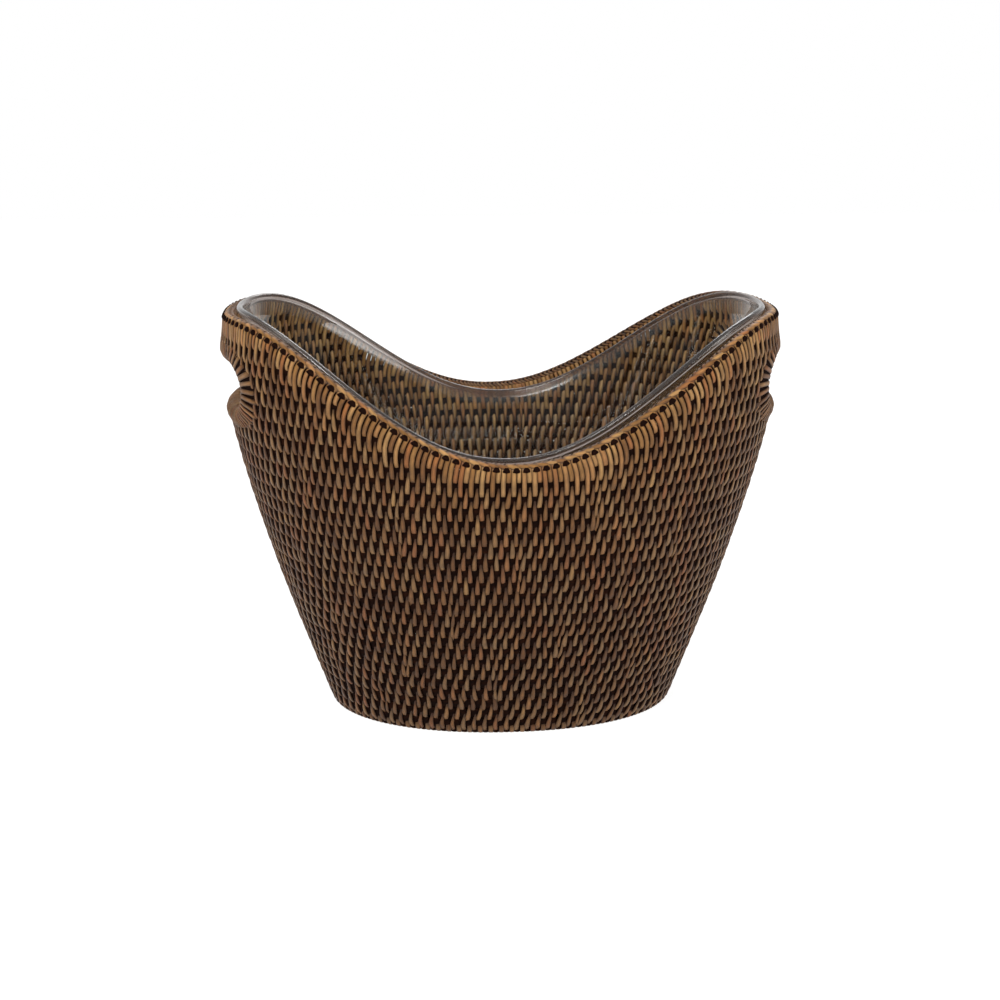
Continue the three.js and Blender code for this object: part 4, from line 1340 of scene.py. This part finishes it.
class BUCKET_OT_liner(bpy.types.Operator):
    """Blow the clear liner"""

    bl_idname = "bucket.liner"
    bl_label = "Clear liner"

    ROUND, WALL_STEPS, CORNER_STEPS, EDGE_STEPS = 192, 26, 7, 12
    # The bead's section starts at this many degrees, turns through this many and stands on a neck that ends
    # this many of its radii lower.
    BEAD_START, BEAD_SWEEP, NECK = -35, 250, 1.6
    # The rings that close its bottom, as shares of the lowest one.
    SHRINK = (0.03, 0.35, 0.7)
    SMOOTH_ANGLE = math.radians(75)

    def execute(self, context):
        s = context.scene.bucket_liner
        power = context.scene.bucket_wall.oval_power
        top = s.lip_low + s.lip_rise
        turns = circle(self.ROUND)
        springing = saddle(turns, s.lip_low, s.lip_rise, s.lip_crown) - s.wall / 2

        def half(z, low, high):
            t = np.clip((z - s.foot) / (top - s.foot), 0, 1)
            return high - (high - low) * (1 - t) ** s.flare

        def ring(z, inset):
            z = z + 0 * turns
            a = half(z, s.foot_half_length, s.mouth_half_length) - inset
            b = half(z, s.foot_half_width, s.mouth_half_width) - inset
            return np.stack([*oval(a, b, turns, power), z], axis=-1)

        def side(inset, bottom):
            shoulder, neck = bottom + s.corner, springing - self.NECK * s.bead
            rings = []
            for i in range(self.CORNER_STEPS):
                a = math.pi / 2 * i / self.CORNER_STEPS
                z = shoulder - s.corner * math.cos(a)
                rings.append(ring(z, inset + s.corner * (1 - math.sin(a))))
            for i in range(self.WALL_STEPS + 1):
                rings.append(ring(shoulder + (neck - shoulder) * i / self.WALL_STEPS, inset))
            return rings

        edge = []
        for i in range(self.EDGE_STEPS + 1):
            a = math.radians(self.BEAD_START + self.BEAD_SWEEP * i / self.EDGE_STEPS)
            inset = s.wall / 2 - s.bead_out - s.bead * math.cos(a)
            edge.append(ring(springing + s.bead * math.sin(a), inset))
        inner = side(s.wall, s.foot + s.floor)
        outer = side(0, s.foot)
        under, inside = [[wall[0] * [q, q, 1] for q in self.SHRINK] for wall in (outer, inner)]
        rings = np.array(under + outer + edge + inner[::-1] + inside[::-1])
        cos, sin = math.cos(s.turn), math.sin(s.turn)
        x, y = rings[..., 0].copy(), rings[..., 1].copy()
        rings[..., 0], rings[..., 1] = cos * x - sin * y, sin * x + cos * y
        below = len(under) + len(outer)
        # The rings of the lip are marked for the grey painted there.
        marks = np.zeros(len(rings))
        marks[below - 1 : below + len(edge)] = 1
        liner = closed_sheet("liner_glass", rings, tube=False, marks=marks)
        finish_piece(liner, "clear_glass", "clear_liner", "liner", self.SMOOTH_ANGLE)
        return {"FINISHED"}


class BUCKET_OT_stage(bpy.types.Operator):
    """Set the pale floor, the soft lamps and the camera"""

    bl_idname = "bucket.stage"
    bl_label = "Stage"

    FLOOR_HALF = 3.0
    # Strength of the even light, and the levels that reflections see: the hall by height, and how much of the
    # white backdrop by the way back.
    LIGHT = 0.5
    HALL = {"From Min": 0.05, "From Max": 0.85, "To Min": 0.12, "To Max": 0.5}
    BACKDROP = {"From Min": 0.45, "From Max": 0.9}
    # Each lamp's name, place, width and power, and the point that all of them are turned to.
    LAMPS = (
        ("key", (-0.7, -1.3, 1.5), 0.9, 22),
        ("fill", (1.4, -0.9, 0.8), 1.0, 9),
        ("back", (0.3, 1.4, 1.4), 1.0, 10),
    )
    LAMP_AIM = (0, 0, 0.12)

    def execute(self, context):
        self.floor()
        self.world(context)
        self.lamps(context)
        self.camera(context)
        context.scene.view_settings.view_transform = "Standard"
        return {"FINISHED"}

    def floor(self):
        deselect_all()
        bpy.ops.mesh.primitive_plane_add(size=2 * self.FLOOR_HALF)
        floor = bpy.context.object
        floor.name = floor.data.name = "studio_floor"
        floor.data.materials.append(material("pale paper floor", studio_paper))

    def world(self, context):
        """A white background, and soft even light. Reflections see the white backdrop behind the bucket, and
        elsewhere the unlit hall, pale overhead and dark low down."""
        world = bpy.data.worlds.new("white studio")
        context.scene.world = world
        world.use_nodes = True
        tree = world.node_tree
        tree.nodes.clear()
        place = add(tree, "TexCoord").outputs["Generated"]
        way = add(tree, "SeparateXYZ", links=[(0, place)]).outputs
        hall, backdrop = [
            add(tree, "MapRange", levels, [("Value", way[axis])]).outputs["Result"]
            for axis, levels in (("Z", self.HALL), ("Y", self.BACKDROP))
        ]
        reflected = add(tree, "Mix", {NUMBER_2: 1.0}, [(SHARE, backdrop), (NUMBER_1, hall)]).outputs[0]
        glossy = add(tree, "LightPath").outputs["Is Glossy Ray"]
        level = add(tree, "Mix", {NUMBER_1: 1.0}, [(SHARE, glossy), (NUMBER_2, reflected)]).outputs[0]
        light = add(tree, "Background", {"Color": WHITE, "Strength": self.LIGHT}).outputs[0]
        white = add(tree, "Background", {"Color": WHITE}, [("Strength", level)]).outputs[0]
        both = add(tree, "MixShader", links=[(0, seen(tree)), (1, light), (2, white)]).outputs[0]
        add(tree, "OutputWorld", links=[("Surface", both)])

    def stand(self, context, name, data, place, back):
        """Puts a lamp or camera at a place, with its back this way."""
        item = bpy.data.objects.new(name, data)
        context.scene.collection.objects.link(item)
        item.location = place
        item.rotation_mode = "QUATERNION"
        item.rotation_quaternion = (-Vector(back)).to_track_quat("-Z", "Y")
        return item

    def lamps(self, context):
        for name, place, width, power in self.LAMPS:
            lamp = bpy.data.lights.new(name, "AREA")
            lamp.shape = "DISK"
            lamp.size = width
            lamp.energy = power
            self.stand(context, name, lamp, place, np.array(place) - np.array(self.LAMP_AIM))

    def camera(self, context):
        s = context.scene.bucket_camera
        lens = bpy.data.cameras.new("picture camera")
        lens.lens = s.lens
        lens.shift_x, lens.shift_y = s.sideways, s.shift
        a, e = s.azimuth, s.elevation
        back = Vector((math.sin(a) * math.cos(e), -math.cos(a) * math.cos(e), math.sin(e)))
        place = Vector((0, 0, s.aim_height)) + back * s.distance
        context.scene.camera = self.stand(context, "picture camera", lens, place, back)


OPERATORS = (
    BUCKET_OT_outer_weave,
    BUCKET_OT_inner_weave,
    BUCKET_OT_rim,
    BUCKET_OT_hand_holes,
    BUCKET_OT_base,
    BUCKET_OT_floor,
    BUCKET_OT_poles,
    BUCKET_OT_liner,
    BUCKET_OT_stage,
)


class BUCKET_PT_panel(bpy.types.Panel):
    """Lists the pieces of the bucket and their sizes"""

    bl_idname = "BUCKET_PT_panel"
    bl_label = "Rattan wine bucket"
    bl_space_type = "VIEW_3D"
    bl_region_type = "UI"
    bl_category = "Bucket"

    def draw(self, context):
        for operator in OPERATORS:
            self.layout.operator(operator.bl_idname)
        for key, group in GROUPS.items():
            box = self.layout.box()
            box.label(text=group.__doc__.split(":")[0])
            for name in group.__annotations__:
                box.prop(getattr(context.scene, key), name)


def register():
    for group in GROUPS.values():
        bpy.utils.register_class(group)
    for operator in OPERATORS:
        bpy.utils.register_class(operator)
    bpy.utils.register_class(BUCKET_PT_panel)
    for key, group in GROUPS.items():
        setattr(bpy.types.Scene, key, PointerProperty(type=group))


def unregister():
    for key in GROUPS:
        delattr(bpy.types.Scene, key)
    bpy.utils.unregister_class(BUCKET_PT_panel)
    for operator in reversed(OPERATORS):
        bpy.utils.unregister_class(operator)
    for group in reversed(GROUPS.values()):
        bpy.utils.unregister_class(group)


def main():
    register()
    for operator in OPERATORS:
        group, call = operator.bl_idname.split(".")
        getattr(getattr(bpy.ops, group), call)()


if __name__ == "__main__":
    main()
